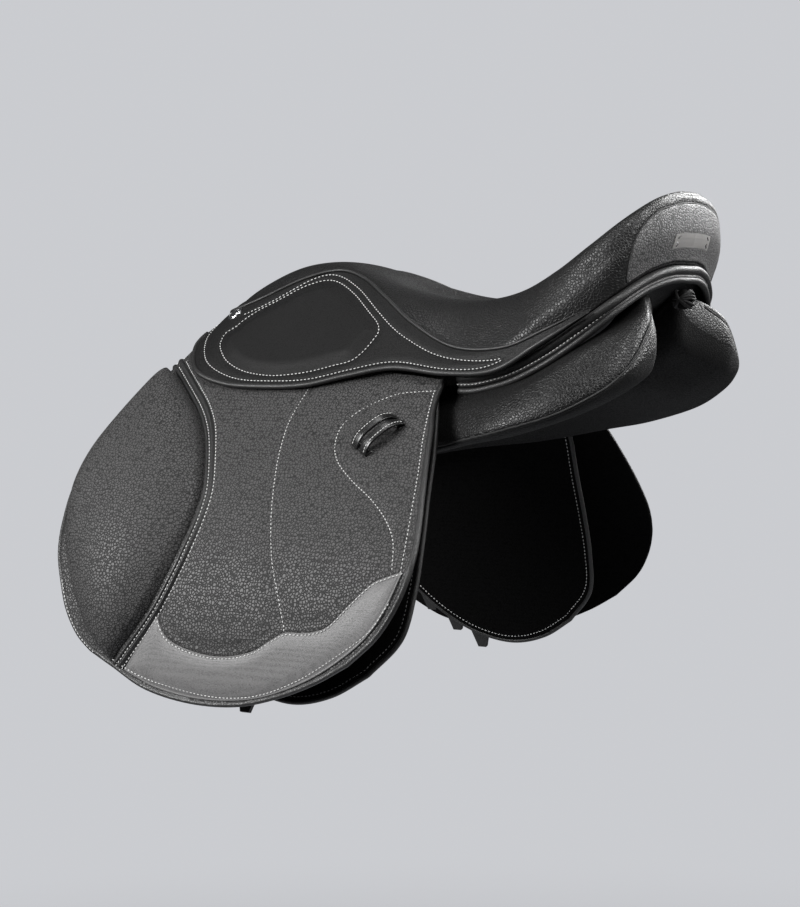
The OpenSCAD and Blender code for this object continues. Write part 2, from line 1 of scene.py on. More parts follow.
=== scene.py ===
"""Looks of the English jumping saddle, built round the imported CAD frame.

Shapes are worked out in millimetres, in the frame's axes: +X to the cantle, -Y the near (left) side, +Z up.
Every function that shapes a paired piece shapes the left one, and the right one is its mirror image.
"""

import math

import bmesh
import bpy
import numpy as np
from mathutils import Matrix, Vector


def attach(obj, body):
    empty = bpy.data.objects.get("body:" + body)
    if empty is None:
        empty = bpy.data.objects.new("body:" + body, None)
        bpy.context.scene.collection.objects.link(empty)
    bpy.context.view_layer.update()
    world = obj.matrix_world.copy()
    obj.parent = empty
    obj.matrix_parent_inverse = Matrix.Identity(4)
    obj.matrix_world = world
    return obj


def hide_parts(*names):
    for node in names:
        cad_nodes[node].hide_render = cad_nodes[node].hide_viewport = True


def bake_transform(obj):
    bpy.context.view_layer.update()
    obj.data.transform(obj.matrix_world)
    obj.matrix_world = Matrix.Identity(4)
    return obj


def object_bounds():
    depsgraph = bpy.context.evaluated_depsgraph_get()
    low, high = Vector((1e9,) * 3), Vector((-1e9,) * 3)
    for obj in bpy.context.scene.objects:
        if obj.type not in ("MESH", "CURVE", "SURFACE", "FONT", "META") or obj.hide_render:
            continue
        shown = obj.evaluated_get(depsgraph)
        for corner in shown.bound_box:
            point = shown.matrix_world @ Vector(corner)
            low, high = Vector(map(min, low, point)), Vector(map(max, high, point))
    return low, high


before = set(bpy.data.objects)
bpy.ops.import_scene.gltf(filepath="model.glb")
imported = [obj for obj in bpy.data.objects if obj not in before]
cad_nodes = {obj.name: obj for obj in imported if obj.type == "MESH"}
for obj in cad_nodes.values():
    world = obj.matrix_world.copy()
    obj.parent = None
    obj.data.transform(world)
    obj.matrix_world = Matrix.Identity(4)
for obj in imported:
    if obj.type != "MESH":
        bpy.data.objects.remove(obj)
cad_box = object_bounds()
scene = bpy.context.scene

MM = 0.001
SIDES = ("left", "right")

# ---------------------------------------------------------------- camera and light

PHOTO_AZIMUTH = 30.0
PHOTO_ELEVATION = 3.7
CAMERA_DISTANCE = 2.05
CAMERA_TARGET = Vector((-0.073, 0.0, -0.040))
CAMERA_LENS = 88.28
LIGHT_DISTANCE = 2.2
LIGHT_TARGET = Vector((0, 0, 0.02))


def direction(azimuth, elevation):
    """Unit vector from the object towards a point at that azimuth and elevation."""
    a, e = math.radians(azimuth), math.radians(elevation)
    return Vector((math.sin(a) * math.cos(e), -math.cos(a) * math.cos(e), math.sin(e)))


def make_camera():
    camera = bpy.data.objects.new("camera", bpy.data.cameras.new("camera"))
    scene.collection.objects.link(camera)
    camera.data.lens = CAMERA_LENS
    back = direction(PHOTO_AZIMUTH, PHOTO_ELEVATION)
    camera.location = CAMERA_TARGET + back * CAMERA_DISTANCE
    camera.rotation_mode = "QUATERNION"
    camera.rotation_quaternion = (-back).to_track_quat("-Z", "Y")
    camera.data.clip_end = 200.0
    scene.camera = camera


def softbox(name, azimuth, elevation, size, power):
    """A large square area light that looks at the middle of the saddle."""
    data = bpy.data.lights.new(name, "AREA")
    data.shape = "RECTANGLE"
    data.size, data.size_y = size
    data.energy = power
    light = bpy.data.objects.new(name, data)
    scene.collection.objects.link(light)
    away = direction(azimuth, elevation)
    light.location = LIGHT_TARGET + away * LIGHT_DISTANCE
    light.rotation_mode = "QUATERNION"
    light.rotation_quaternion = (-away).to_track_quat("-Z", "Y")


make_camera()
# azimuth, elevation, size and power
LIGHTS = {
    "light_front_left": (-34, 17, (1.0, 1.0), 66),
    "light_front_right": (52, 48, (0.9, 0.7), 34),
    "light_right": (104, 26, (0.7, 1.0), 38),
    "light_back": (160, 26, (1.2, 0.9), 60),
    "light_top": (-60, 70, (1.2, 0.6), 9),
}
for name, settings in LIGHTS.items():
    softbox(name, *settings)

# ---------------------------------------------------------------- materials


def node(tree, kind, inputs=(), **settings):
    """A shader node with its settings and inputs; an input may be a value or another node's socket."""
    made = tree.nodes.new(kind)
    for key, value in settings.items():
        setattr(made, key, value)
    for key, value in dict(inputs).items():
        if isinstance(value, bpy.types.NodeSocket):
            tree.links.new(value, made.inputs[key])
        else:
            made.inputs[key].default_value = value
    return made


def new_material(name):
    """A material and its Principled shader."""
    material = bpy.data.materials.new(name)
    material.use_nodes = True
    tree = material.node_tree
    return material, tree, tree.nodes["Principled BSDF"]


def place_of(tree, on_cad):
    """Where a point lies on the leather at rest: kept in an attribute on the script's own pieces."""
    if on_cad:
        return node(tree, "ShaderNodeTexCoord").outputs["Object"]
    return node(tree, "ShaderNodeAttribute", attribute_name="rest").outputs["Vector"]


def math_node(tree, operation, a, b=0.0):
    return node(tree, "ShaderNodeMath", {0: a, 1: b}, operation=operation).outputs[0]


def noise_node(tree, place, scale, detail=2.0, roughness=0.5):
    inputs = {"Vector": place, "Scale": scale, "Detail": detail, "Roughness": roughness}
    return node(tree, "ShaderNodeTexNoise", inputs).outputs["Fac"]


def scaled(tree, value, low, high):
    """A 0 to 1 value carried to low..high."""
    inputs = {"Value": value, "To Min": low, "To Max": high}
    return node(tree, "ShaderNodeMapRange", inputs).outputs["Result"]


def tinted(tree, factor, dark, light):
    """A colour between dark and light."""
    return node(
        tree, "ShaderNodeMix", {0: factor, 6: (*dark, 1), 7: (*light, 1)}, data_type="RGBA"
    ).outputs[2]


def wave(tree, place, scale, distortion, way):
    inputs = {"Vector": place, "Scale": scale, "Distortion": distortion}
    return node(tree, "ShaderNodeTexWave", inputs, bands_direction=way).outputs["Fac"]


def shaded(colour, by):
    return tuple(by * c for c in colour)


def finish(tree, shader, colour, roughness, height, depth):
    """Links a surface's colour, its roughness and a relief that stands depth high."""
    bump = node(tree, "ShaderNodeBump", {"Height": height, "Distance": depth, "Strength": 1.0})
    tree.links.new(bump.outputs["Normal"], shader.inputs["Normal"])
    tree.links.new(colour, shader.inputs["Base Color"])
    tree.links.new(roughness, shader.inputs["Roughness"])


def leather(name, tone, cell, relief, roughness, on_cad=False, coat=0.0, specular=0.5):
    """Leather with round pebbles of size cell standing relief high, in metres; tone is its lightness. Its
    colour is painted darker in the grooves and lighter on the pebbles' tops: painted shade and painted
    highlight.
    """
    material, tree, shader = new_material(name)
    place = place_of(tree, on_cad)
    wander = node(tree, "ShaderNodeTexNoise", {"Vector": place, "Scale": 0.3 / cell, "Detail": 1.0})
    by_half = {0: wander.outputs["Color"], 1: (0.5 * cell,) * 3}
    warp = node(tree, "ShaderNodeVectorMath", by_half, operation="MULTIPLY").outputs[0]
    warped = node(tree, "ShaderNodeVectorMath", {0: place, 1: warp}, operation="ADD").outputs[0]
    cells = {"Vector": warped, "Scale": 1 / cell, "Randomness": 0.85}
    edge = node(tree, "ShaderNodeTexVoronoi", cells, feature="DISTANCE_TO_EDGE").outputs["Distance"]
    middle = node(tree, "ShaderNodeTexVoronoi", cells, feature="SMOOTH_F1").outputs["Distance"]
    narrow = {"Value": edge, "From Max": 0.22}
    groove = node(tree, "ShaderNodeMapRange", narrow, interpolation_type="SMOOTHSTEP").outputs["Result"]
    dome = math_node(tree, "MULTIPLY", groove, scaled(tree, middle, 1.0, 0.7))
    fine = noise_node(tree, place, 4.0 / cell, 2.0, 0.5)
    broad = noise_node(tree, place, 22.0, 3.0)
    # painted shade in the grooves and painted highlight on the pebbles' tops, with random tone from the broad
    # noise
    painted_pebble_shade = math_node(tree, "MULTIPLY", scaled(tree, dome, 0.0, 1.3), scaled(tree, broad, 0.85, 1.15))
    colour = tinted(tree, painted_pebble_shade, (0.12 * tone,) * 3, (1.02 * tone, tone, tone))
    dull = scaled(tree, groove, roughness + 0.22, roughness)
    rough = math_node(tree, "ADD", dull, scaled(tree, broad, -0.04, 0.04))
    height = math_node(tree, "ADD", dome, scaled(tree, fine, 0.0, 0.1))
    finish(tree, shader, colour, rough, height, relief)
    shader.inputs["Specular IOR Level"].default_value = specular
    shader.inputs["Coat Weight"].default_value = coat
    shader.inputs["Coat Roughness"].default_value = 0.25
    return material


def thread(name, colour):
    """Twisted, waxed sewing thread."""
    material, tree, shader = new_material(name)
    place = place_of(tree, False)
    twist = wave(tree, place, 900.0, 1.5, "DIAGONAL")
    tint = tinted(tree, noise_node(tree, place, 400.0), shaded(colour, 0.72), colour)
    finish(tree, shader, tint, scaled(tree, twist, 0.5, 0.75), twist, 0.0001)
    return material


def metal(name, colour, roughness, stretch=(1.0, 1.0, 1.0), on_cad=True):
    """Polished or brushed metal; stretch makes the fine scratches run one way."""
    material, tree, shader = new_material(name)
    mapping = {"Vector": place_of(tree, on_cad), "Scale": stretch}
    place = node(tree, "ShaderNodeMapping", mapping).outputs["Vector"]
    scratch = noise_node(tree, place, 700.0, 4.0, 0.65)
    tint = tinted(tree, noise_node(tree, place, 45.0, 3.0), shaded(colour, 0.78), colour)
    finish(tree, shader, tint, scaled(tree, scratch, roughness * 0.75, roughness * 1.4), scratch, 0.00003)
    shader.inputs["Metallic"].default_value = 1.0
    return material


def webbing(name, colour):
    """Coarse woven linen webbing."""
    material, tree, shader = new_material(name)
    place = place_of(tree, True)
    warp, weft = wave(tree, place, 190.0, 0.4, "X"), wave(tree, place, 150.0, 0.4, "Z")
    weave = math_node(tree, "MULTIPLY", warp, weft)
    fibre = noise_node(tree, place, 900.0, 3.0)
    height = math_node(tree, "ADD", weave, scaled(tree, fibre, 0, 0.4))
    # the colour darkens where the weave sinks between the threads: painted shade
    tint = tinted(tree, weave, shaded(colour, 0.45), colour)
    finish(tree, shader, tint, scaled(tree, fibre, 0.8, 0.95), height, 0.0004)
    return material


def wood(name):
    """Laminated beech of the tree, stained black, with its layers showing along the edge."""
    material, tree, shader = new_material(name)
    layers = {"Scale": 60.0, "Distortion": 6.0, "Detail": 3.0, "Detail Scale": 2.0}
    inputs = {"Vector": place_of(tree, True), **layers}
    grain = node(tree, "ShaderNodeTexWave", inputs, bands_direction="Z").outputs["Fac"]
    tint = tinted(tree, grain, (0.005, 0.0045, 0.004), (0.016, 0.014, 0.012))
    finish(tree, shader, tint, scaled(tree, grain, 0.55, 0.7), grain, 0.0002)
    return material


def foam(name):
    """Open-cell seat foam."""
    material, tree, shader = new_material(name)
    inputs = {"Vector": place_of(tree, True), "Scale": 900.0}
    pits = node(tree, "ShaderNodeTexVoronoi", inputs).outputs["Distance"]
    tint = tinted(tree, pits, (0.75, 0.66, 0.40), (0.55, 0.46, 0.24))
    finish(tree, shader, tint, scaled(tree, pits, 0.85, 0.95), pits, 0.0005)
    return material


GRAIN = leather("grain_leather", 0.054, 0.0027, 0.00030, 0.46, specular=0.3)
SEAT = leather("seat_leather", 0.009, 0.0026, 0.00026, 0.36, specular=0.36)
# the cantle leather's tone is set far lighter than the rest of the black leather: painted light, standing for
# the bright light on the back of the cantle
CANTLE_PAINTED_LIGHT = leather("cantle_leather", 0.10, 0.0026, 0.00022, 0.47)
# the panel leather's tone is set darker than the flap's grain leather: painted shade, standing for the shade
# on the panels
PANEL_PAINTED_SHADE = leather("panel_leather", 0.005, 0.0026, 0.00028, 0.35, specular=0.36)
# an almost black copy of the panel leather for the panels' undersides and inner faces: painted shade
UNDERSIDE_PAINTED_SHADE = leather("underside_painted_shade", 0.003, 0.0020, 0.00020, 0.6, specular=0.2)
ROLL = leather("roll_leather", 0.012, 0.0020, 0.00012, 0.40)
SKIRT = leather("skirt_leather", 0.008, 0.0016, 0.00007, 0.5, specular=0.22)
SMOOTH = leather("smooth_leather", 0.006, 0.0011, 0.00005, 0.5, specular=0.22)
TOE = leather("toe_leather", 0.172, 0.0005, 0.00001, 0.45)
LINING = leather("lining_leather", 0.002, 0.0016, 0.00012, 0.7, specular=0.06)
EDGE = leather("edge_paint", 0.010, 0.0012, 0.00005, 0.38)
BLACK_LACE = leather("lace_leather", 0.004, 0.0010, 0.00010, 0.6, specular=0.3)
GLOSS = leather("keeper_leather", 0.008, 0.0010, 0.00003, 0.2, coat=0.4)
PIPING = leather("piping_leather", 0.016, 0.0014, 0.00008, 0.36)
STRAP_CAD = leather("strap_leather", 0.010, 0.0016, 0.00012, 0.45, on_cad=True)
BLACK_CAD = leather("black_leather_cad", 0.006, 0.0016, 0.00012, 0.55, on_cad=True)
WHITE_THREAD = thread("white_thread", (0.74, 0.74, 0.73))
# white thread painted dim grey for the stitches on the sweat flaps' outer faces, which lie in shade: painted
# shade
THREAD_PAINTED_SHADE = thread("thread_painted_shade", (0.12, 0.12, 0.12))
BLACK_THREAD = thread("black_thread", (0.012, 0.012, 0.012))
STEEL = metal("bright_steel", (0.62, 0.62, 0.64), 0.2)
TREE_STEEL = metal("tree_steel", (0.35, 0.35, 0.36), 0.42)
BADGE = metal("badge_metal", (0.80, 0.78, 0.76), 0.42, stretch=(1.0, 0.05, 1.6))
STUD = metal("stud_metal", (0.70, 0.70, 0.71), 0.16, on_cad=False)
WEBBING = webbing("webbing", (0.42, 0.38, 0.29))
WOOD = wood("wood")
FOAM = foam("foam")

CAD_LOOKS = {
    WOOD: ["tree_frame"],
    TREE_STEEL: ["head_plate", "cantle_plate"],
    WEBBING: ["seat_web", "cross_webs"],
    FOAM: ["seat_foam"],
    BLACK_CAD: ["channel_lining"],
    BADGE: ["cantle_badge"],
    STEEL: ["badge_pins", "bar_rivets", "strap_rivets"],
}
PAIRED_CAD_LOOKS = {
    STEEL: ["stirrup_bar", "bar_catch", "dee_ring"],
    BLACK_CAD: ["dee_chape", "buckle_guard"],
    WEBBING: ["girth_web"],
    STRAP_CAD: ["girth_strap_front", "girth_strap_middle", "girth_strap_rear"],
}


def dress(cad_node, material):
    """Gives a CAD node that stays in view its material."""
    mesh = cad_nodes[cad_node].data
    mesh.materials.clear()
    mesh.materials.append(material)


for look, names in CAD_LOOKS.items():
    for name in names:
        dress(name, look)
for look, names in PAIRED_CAD_LOOKS.items():
    for name in names:
        for side in SIDES:
            dress(f"{name}_{side}", look)

# ---------------------------------------------------------------- curves


def weights(count, t):
    """What each of count control values counts for on a smooth curve at positions t (0 to count - 1)."""
    t = np.atleast_1d(np.asarray(t, float))
    start = np.clip(np.floor(t).astype(int), 0, count - 2)
    f = t - start
    table = np.zeros((len(t), count + 2))
    rows = np.arange(len(t))
    table[rows, start] = 0.5 * (-f + 2 * f**2 - f**3)
    table[rows, start + 1] = 0.5 * (2 - 5 * f**2 + 3 * f**3)
    table[rows, start + 2] = 0.5 * (f + 4 * f**2 - 3 * f**3)
    table[rows, start + 3] = 0.5 * (-(f**2) + f**3)
    inside = table[:, 1:-1].copy()
    inside[:, 0] += 2 * table[:, 0]
    inside[:, 1] -= table[:, 0]
    inside[:, -1] += 2 * table[:, -1]
    inside[:, -2] -= table[:, -1]
    return inside


def spline(values, t):
    values = np.asarray(values, float)
    return np.tensordot(weights(len(values), t), values, 1)


def along(values, s):
    """The same curve read from 0 at its start to 1 at its end."""
    return spline(values, np.asarray(s, float) * (len(values) - 1))


def ease(s):
    c = np.clip(s, 0, 1)
    return c * c * (3 - 2 * c)


def mix(a, b, s):
    return a + (b - a) * s


def unit(vectors):
    """The same directions, one long."""
    return vectors / np.maximum(np.linalg.norm(vectors, axis=-1, keepdims=True), 1e-9)


def columns(*values):
    """Points from their coordinates, which are stretched to one shape."""
    return np.stack(np.broadcast_arrays(*values), -1)


def lengths(points):
    """Distance travelled at each point of a path."""
    hops = np.linalg.norm(np.diff(points, axis=0), axis=1)
    return np.concatenate([[0.0], np.cumsum(hops)])


def evenly(points, step):
    """A dense path cut again into equal steps."""
    run = lengths(points)
    count = max(2, int(round(run[-1] / step)) + 1)
    at = np.linspace(0, run[-1], count)
    return np.column_stack([np.interp(at, run, points[:, k]) for k in range(points.shape[1])])


def smooth_path(points, step=1.0):
    """Evenly spaced points on the smooth curve through the control points."""
    points = np.asarray(points, float)
    return evenly(along(points, np.linspace(0, 1, 24 * len(points))), step)


def patch(top, bottom, left, right, u, v):
    """Points inside four edge curves, at every u along top and bottom and every v down left and right."""
    top, bottom, left, right = (np.asarray(c, float) for c in (top, bottom, left, right))
    across = along(top, u)[None] * (1 - v)[:, None, None] + along(bottom, u)[None] * v[:, None, None]
    down = along(left, v)[:, None] * (1 - u)[None, :, None] + along(right, v)[:, None] * u[None, :, None]
    ends_top = mix(top[0], top[-1], u[:, None])[None]
    ends_bottom = mix(bottom[0], bottom[-1], u[:, None])[None]
    return across + down - ends_top * (1 - v)[:, None, None] - ends_bottom * v[:, None, None]


RIM = (0.0, 0.25, 0.7, 1.4, 2.3, 3.3, 4.4, 5.5, 6.6)


def steps(length, pitch, rim=RIM):
    """Positions from 0 to 1 along length, pitch apart in the middle and closer together at both ends."""
    edge = np.array(rim) / length
    middle = np.linspace(edge[-1], 1 - edge[-1], max(2, int((length - 2 * rim[-1]) / pitch)) + 1)
    return np.concatenate([edge[:-1], middle, 1 - edge[-2::-1]])


def nearest(points, path):
    """Distance from each point to the nearest point of a path."""
    flat = points.reshape(-1, points.shape[-1])
    parts = [flat[k : k + 2000, None] - path[None] for k in range(0, len(flat), 2000)]
    return np.sqrt(np.concatenate([(p**2).sum(2).min(1) for p in parts])).reshape(points.shape[:-1])


def dip(distance, width):
    """1 on a line, falling smoothly to 0 about two widths away."""
    return np.exp(-((distance / width) ** 2))


def normals_of(grid):
    """Unit normals of a grid of points: its way across, crossed with its way down."""
    return unit(np.cross(np.gradient(grid, axis=1), np.gradient(grid, axis=0)))


# ---------------------------------------------------------------- meshes


def add_mesh(name, points, faces, material, weld=False):
    """A smooth-shaded object from points in millimetres, with its place at rest kept for its material."""
    mesh = bpy.data.meshes.new(name)
    mesh.from_pydata((points * MM).tolist(), [], [list(f) for f in faces])
    if weld:
        work = bmesh.new()
        work.from_mesh(mesh)
        bmesh.ops.remove_doubles(work, verts=work.verts, dist=0.00001)
        work.to_mesh(mesh)
        work.free()
    mesh.shade_smooth()
    rest = mesh.attributes.new("rest", "FLOAT_VECTOR", "POINT")
    place = np.zeros(len(mesh.vertices) * 3)
    mesh.vertices.foreach_get("co", place)
    rest.data.foreach_set("vector", place)
    for look in material if isinstance(material, (list, tuple)) else [material]:
        mesh.materials.append(look)
    piece = bpy.data.objects.new(name, mesh)
    scene.collection.objects.link(piece)
    return piece


def grid_faces(rows, cols, ring=False):
    """Quads of a grid; with ring, each row closes on itself."""
    r = np.arange(rows - 1)[:, None]
    c = np.arange(cols if ring else cols - 1)[None]
    d = (c + 1) % cols
    quads = np.stack([r * cols + c, r * cols + d, (r + 1) * cols + d, (r + 1) * cols + c], -1)
    return quads.reshape(-1, 4)


def closed_sheet(outer, inner):
    """Points and faces of a closed sheet between two grids."""
    rows, cols = outer.shape[:2]
    count = rows * cols
    points = np.concatenate([outer.reshape(-1, 3), inner.reshape(-1, 3)])
    ids = np.arange(count).reshape(rows, cols)
    loop = np.concatenate([ids[0, :-1], ids[:-1, -1], ids[-1, :0:-1], ids[:0:-1, 0]])
    after = np.roll(loop, -1)
    rim = np.stack([loop, loop + count, after + count, after], -1)
    front = grid_faces(rows, cols)
    back = front[:, ::-1] + count
    return points, np.concatenate([front, back, rim])


def rim_distance(grid):
    """How far each point of a grid lies from the nearest of its four edges."""
    across = np.stack([lengths(row) for row in grid])
    down = np.stack([lengths(column) for column in grid.swapaxes(0, 1)], axis=1)
    return np.min([down, down[-1:] - down, across, across[:, -1:] - across], axis=0)


def rounding(distance, radius):
    """How far a rounded edge has dropped at a distance from the rim."""
    d = np.clip(distance, 0, radius)
    return radius - np.sqrt(radius**2 - (radius - d) ** 2)


def turn(count):
    """Angles evenly round a circle."""
    return np.linspace(0, 2 * math.pi, count, endpoint=False)


def rings_round(path, upright, sides):
    """A path's direction, and a circle of unit spokes square to it, at each of its points."""
    forward = unit(np.gradient(path, axis=0))
    side = unit(np.cross(forward, upright))
    angle = turn(sides)[None, :, None]
    return forward, np.cos(angle) * side[:, None] + np.sin(angle) * np.cross(side, forward)[:, None]


def tube(path, radius, sides=12):
    """Points and faces of a round rod along a path; radius may change along it."""
    radius = np.broadcast_to(np.asarray(radius, float), (len(path),))
    _, ring = rings_round(path, (0.03, 0.05, 1.0), sides)
    points = (path[:, None] + ring * radius[:, None, None]).reshape(-1, 3)
    faces = [tuple(f) for f in grid_faces(len(path), sides, ring=True)[:, ::-1]]
    last = (len(path) - 1) * sides
    faces.append(tuple(range(sides)))
    faces.append(tuple(range(last + sides - 1, last - 1, -1)))
    return points, faces


STITCH_STATIONS = np.array([-0.5, -0.38, -0.15, 0.15, 0.38, 0.5])
STITCH_WIDTHS = np.array([0.25, 0.8, 1.0, 1.0, 0.8, 0.25])
STITCH_SIDES = 6


def stitch_row(path, pitch=3.7, length=2.1, radius=0.44):
    """Points and faces of a row of sewn stitches along a path."""
    at = evenly(path, pitch)
    forward, ring = rings_round(at, (0.11, 0.23, 1.0), STITCH_SIDES)
    run = (STITCH_STATIONS * length)[None, :, None, None] * forward[:, None, None]
    swell = (STITCH_WIDTHS * radius)[None, :, None, None] * ring[:, None]
    count = len(STITCH_STATIONS)
    body = grid_faces(count, STITCH_SIDES, ring=True)[:, ::-1]
    tail = (count - 1) * STITCH_SIDES
    caps = [[0, 1, 2, 3], [0, 3, 4, 5]] + [[tail + k for k in cap] for cap in ([3, 2, 1, 0], [5, 4, 3, 0])]
    one = np.concatenate([body, caps])
    faces = (one[None] + np.arange(len(at))[:, None, None] * count * STITCH_SIDES).reshape(-1, 4)
    return (at[:, None, None] + run + swell).reshape(-1, 3), faces


def joined(*parts):
    """One set of points and faces from several."""
    points, faces, start = [], [], 0
    for p, f in parts:
        points.append(p)
        faces += [tuple(int(i) + start for i in face) for face in f]
        start += len(p)
    return np.concatenate(points), faces


# ---------------------------------------------------------------- how pieces move

# where each sheet of leather starts and ends its bend, on the left side
BENDS = {
    "flap_bend": ((0, -127.5, 27.5), (0, -141.5, 12.5)),
    "skirt_bend": ((-86, -91.6, 67.8), (-86, -102.4, 56.2)),
}


def on_saddle(piece, replaces=()):
    """Fixes a piece to the saddle and hides the CAD nodes that it stands for."""
    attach(piece, "saddle")
    if replaces:
        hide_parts(*replaces)


def pair(name, shape, material, way, replaces=(), looks=()):
    """Makes the left piece and its mirror image, on the saddle, on a side's body or across a bend.

    A {} in a replaced node's name stands for the side. looks numbers the materials of the first faces,
    where there are several.
    """
    points, faces = shape
    for side, flip in (("left", 1), ("right", -1)):
        turned = [tuple(f)[::flip] for f in faces]
        piece = add_mesh(f"{name}_{side}", points * [1, flip, 1], turned, material)
        if len(looks):
            numbers = np.zeros(len(piece.data.polygons), int)
            numbers[: len(looks)] = looks
            piece.data.polygons.foreach_set("material_index", numbers)
            piece.data.update()
        if way in BENDS:
            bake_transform(piece)
        else:
            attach(piece, way if way == "saddle" else f"{side}_{way}")
        if replaces:
            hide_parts(*[node_name.format(side) for node_name in replaces])


# ---------------------------------------------------------------- the seat's form

SEAT_ROWS = np.array(
    [
        [[-232, 0, 86], [-231, -20, 84], [-228, -38, 80], [-224, -46, 72]],
        [[-225, 0, 104], [-223, -26, 101], [-219, -48, 92], [-215, -54, 80]],
        [[-196, 0, 122], [-194, -28, 118], [-190, -51, 107], [-188, -57, 94]],
        [[-160, 0, 134], [-158, -27, 131], [-155, -47, 119], [-154, -54, 107]],
        [[-120, 0, 136], [-118, -26, 134], [-115, -41, 127], [-114, -50, 114]],
        [[-80, 0, 125], [-80, -32, 125], [-80, -50, 120], [-80, -60, 106]],
        [[-40, 0, 110], [-42, -44, 112], [-44, -70, 103], [-44, -80, 88]],
        [[0, 0, 100], [0, -54, 102], [-4, -91, 80], [-2, -98, 64]],
        [[45, 0, 97], [45, -64, 99], [45, -106, 61], [46, -112, 42]],
        [[85, 0, 100], [88, -74, 107], [90, -113, 66], [90, -115, 47]],
        [[118, 0, 109], [128, -84, 125], [130, -114, 92], [128, -114, 63]],
        [[145, 0, 122], [164, -92, 147], [168, -110, 118], [164, -110, 86]],
        [[165, 0, 138], [191, -84, 167], [196, -99, 140], [187, -97, 105]],
        [[179, 0, 153], [204, -57, 182], [210, -66, 154], [200, -64, 122]],
        [[188, 0, 165], [209, -25, 189], [215, -28, 159], [207, -31, 130]],
        [[191, 0, 168], [210, 0, 190], [216, 0, 160], [209, 0, 131]],
    ],
    float,
)
LAST_ROW = len(SEAT_ROWS) - 1
FIRST_WIDE_ROW = 8
ACROSS = np.array([1, -1, 1])
# the rows run from the left lower edge over the centre to the right one, and past the cantle's middle
SEAT_NET = np.concatenate([SEAT_ROWS[:, :0:-1], SEAT_ROWS * ACROSS], axis=1)
SEAT_NET = np.concatenate([SEAT_NET, SEAT_NET[-2:-4:-1, ::-1]])


def sunk(points, depth):
    """Points moved below the seat's surface, towards the middle of the tree."""
    hub = columns(np.clip(points[..., 0], -190, 140), 0.0, 50.0)
    return points + unit(hub - points) * np.asarray(depth)[..., None]


def seat_at(i, u, depth=0.0):
    """Seat points at paired positions: i counts rows, u runs -3 (left edge) to 3 (right edge)."""
    rows = weights(len(SEAT_NET), i)
    cols = weights(7, np.asarray(u, float) + 3)
    return sunk(np.einsum("pr,rcd,pc->pd", rows, SEAT_NET, cols), depth)


def seat_grid_points(i, u):
    return np.einsum("ar,rcd,bc->abd", weights(len(SEAT_NET), i), SEAT_NET, weights(7, u + 3))


CANTLE_SEAM = np.array(
    [
        [12.35, 2.95], [12.27, 2.75], [12.21, 2.35], [12.32, 1.85],
        [12.78, 1.57], [13.56, 1.46], [14.4, 1.42], [15, 1.41],
    ]
)
CANTLE_RISE = 2.8
seam_left = smooth_path(seat_at(*(along(CANTLE_SEAM, np.linspace(0, 1, 200)) * [1, -1]).T), 1.0)
cantle_seam = np.concatenate([seam_left, (seam_left * ACROSS)[::-1]])


def behind_seam(i, u):
    """Above 0 where a seat position lies on the cantle panel's side of its seam."""
    at_i = np.interp(np.abs(u), CANTLE_SEAM[::-1, 1], CANTLE_SEAM[::-1, 0])
    return i - at_i


def make_seat():
    i = np.concatenate([np.linspace(0, 11.5, 150), np.linspace(11.55, LAST_ROW, 80)])
    u = np.linspace(-3, 3, 121)
    grid = seat_grid_points(i, u)
    from_seam = nearest(grid, cantle_seam)
    ii, uu = np.meshgrid(i, u, indexing="ij")
    behind = (behind_seam(ii, uu) > 0) & (np.abs(uu) > 1.4)
    swell = CANTLE_RISE * ease(1 - from_seam / 42) * ease((ii - 10.5) / 1.2)
    rise = np.where(behind, CANTLE_RISE - 2.0, swell) - 1.9 * dip(from_seam, 1.2)
    outer = sunk(grid, -rise)
    inner = sunk(grid, 3.0)
    seat = add_mesh("seat", *closed_sheet(outer, inner), SEAT, weld=True)
    on_saddle(seat, ["seat_cover"])


def make_cantle_panel():
    """The leather on the back of the cantle, sewn to the seat along its seam."""
    p = np.concatenate([np.linspace(0, 0.2, 24)[:-1], np.linspace(0.2, 1, 70)])
    v = np.concatenate([[0, 0.01, 0.03, 0.06], np.linspace(0.1, 1, 34)])
    top = along(CANTLE_SEAM, p)
    bottom = columns(mix(12.4, 15.0, p), 2.97)
    at = top[:, None] + (bottom - top)[:, None] * v[None, :, None]
    shape = at.shape[:2]
    left = seat_at(at[..., 0].ravel(), -at[..., 1].ravel()).reshape(*shape, 3)
    right = (left * ACROSS)[-2::-1]
    grid = np.concatenate([left, right])
    from_seam = nearest(grid, cantle_seam)
    rise = CANTLE_RISE * (1 - 0.55 * dip(from_seam, 1.3)) + 0.5 * ease(from_seam / 30)
    inner = sunk(grid, -0.8)
    panel = add_mesh("cantle_leather", *closed_sheet(sunk(grid, -rise), inner), CANTLE_PAINTED_LIGHT)
    on_saddle(panel, ["cantle_panel"])
    line = sunk(cantle_seam, -1.3)
    on_saddle(add_mesh("cantle_seam", *tube(line, 0.8, 8), BLACK_THREAD))


def make_badge_slots():
    """Dark slots in the badge's four corners, where its pins are peened over."""
    slots = []
    for flip in (1, -1):
        for u in (-0.115, 0.115):
            ends = seat_at([13.93, 14.02], [-2.42 - u - 0.035, -2.42 - u + 0.035], -4.25)
            slots.append(tube(smooth_path(ends, 0.5) * [1, flip, 1], 0.62, 8))
    on_saddle(add_mesh("badge_slots", *joined(*slots), EDGE))


make_seat()
make_cantle_panel()
make_badge_slots()

# ---------------------------------------------------------------- rolls under the seat

ROLL_D = 8.0
PANEL_ROLL_D = 6.0


def roll_path(drop, out, sag=0.0, first=FIRST_WIDE_ROW + 0.1):
    """A line that follows the seat's lower edge round the back, sagging lower along the sides."""
    i = np.linspace(first, LAST_ROW, 90)
    fall = drop + sag * (1 - ease((i - 10.6) / 2.2))
    edge = seat_at(i, np.full(len(i), -3.0), -out) - columns(0.0, 0.0, fall)
    return smooth_path(np.concatenate([edge, (edge * ACROSS)[-2::-1]]), 2.5)


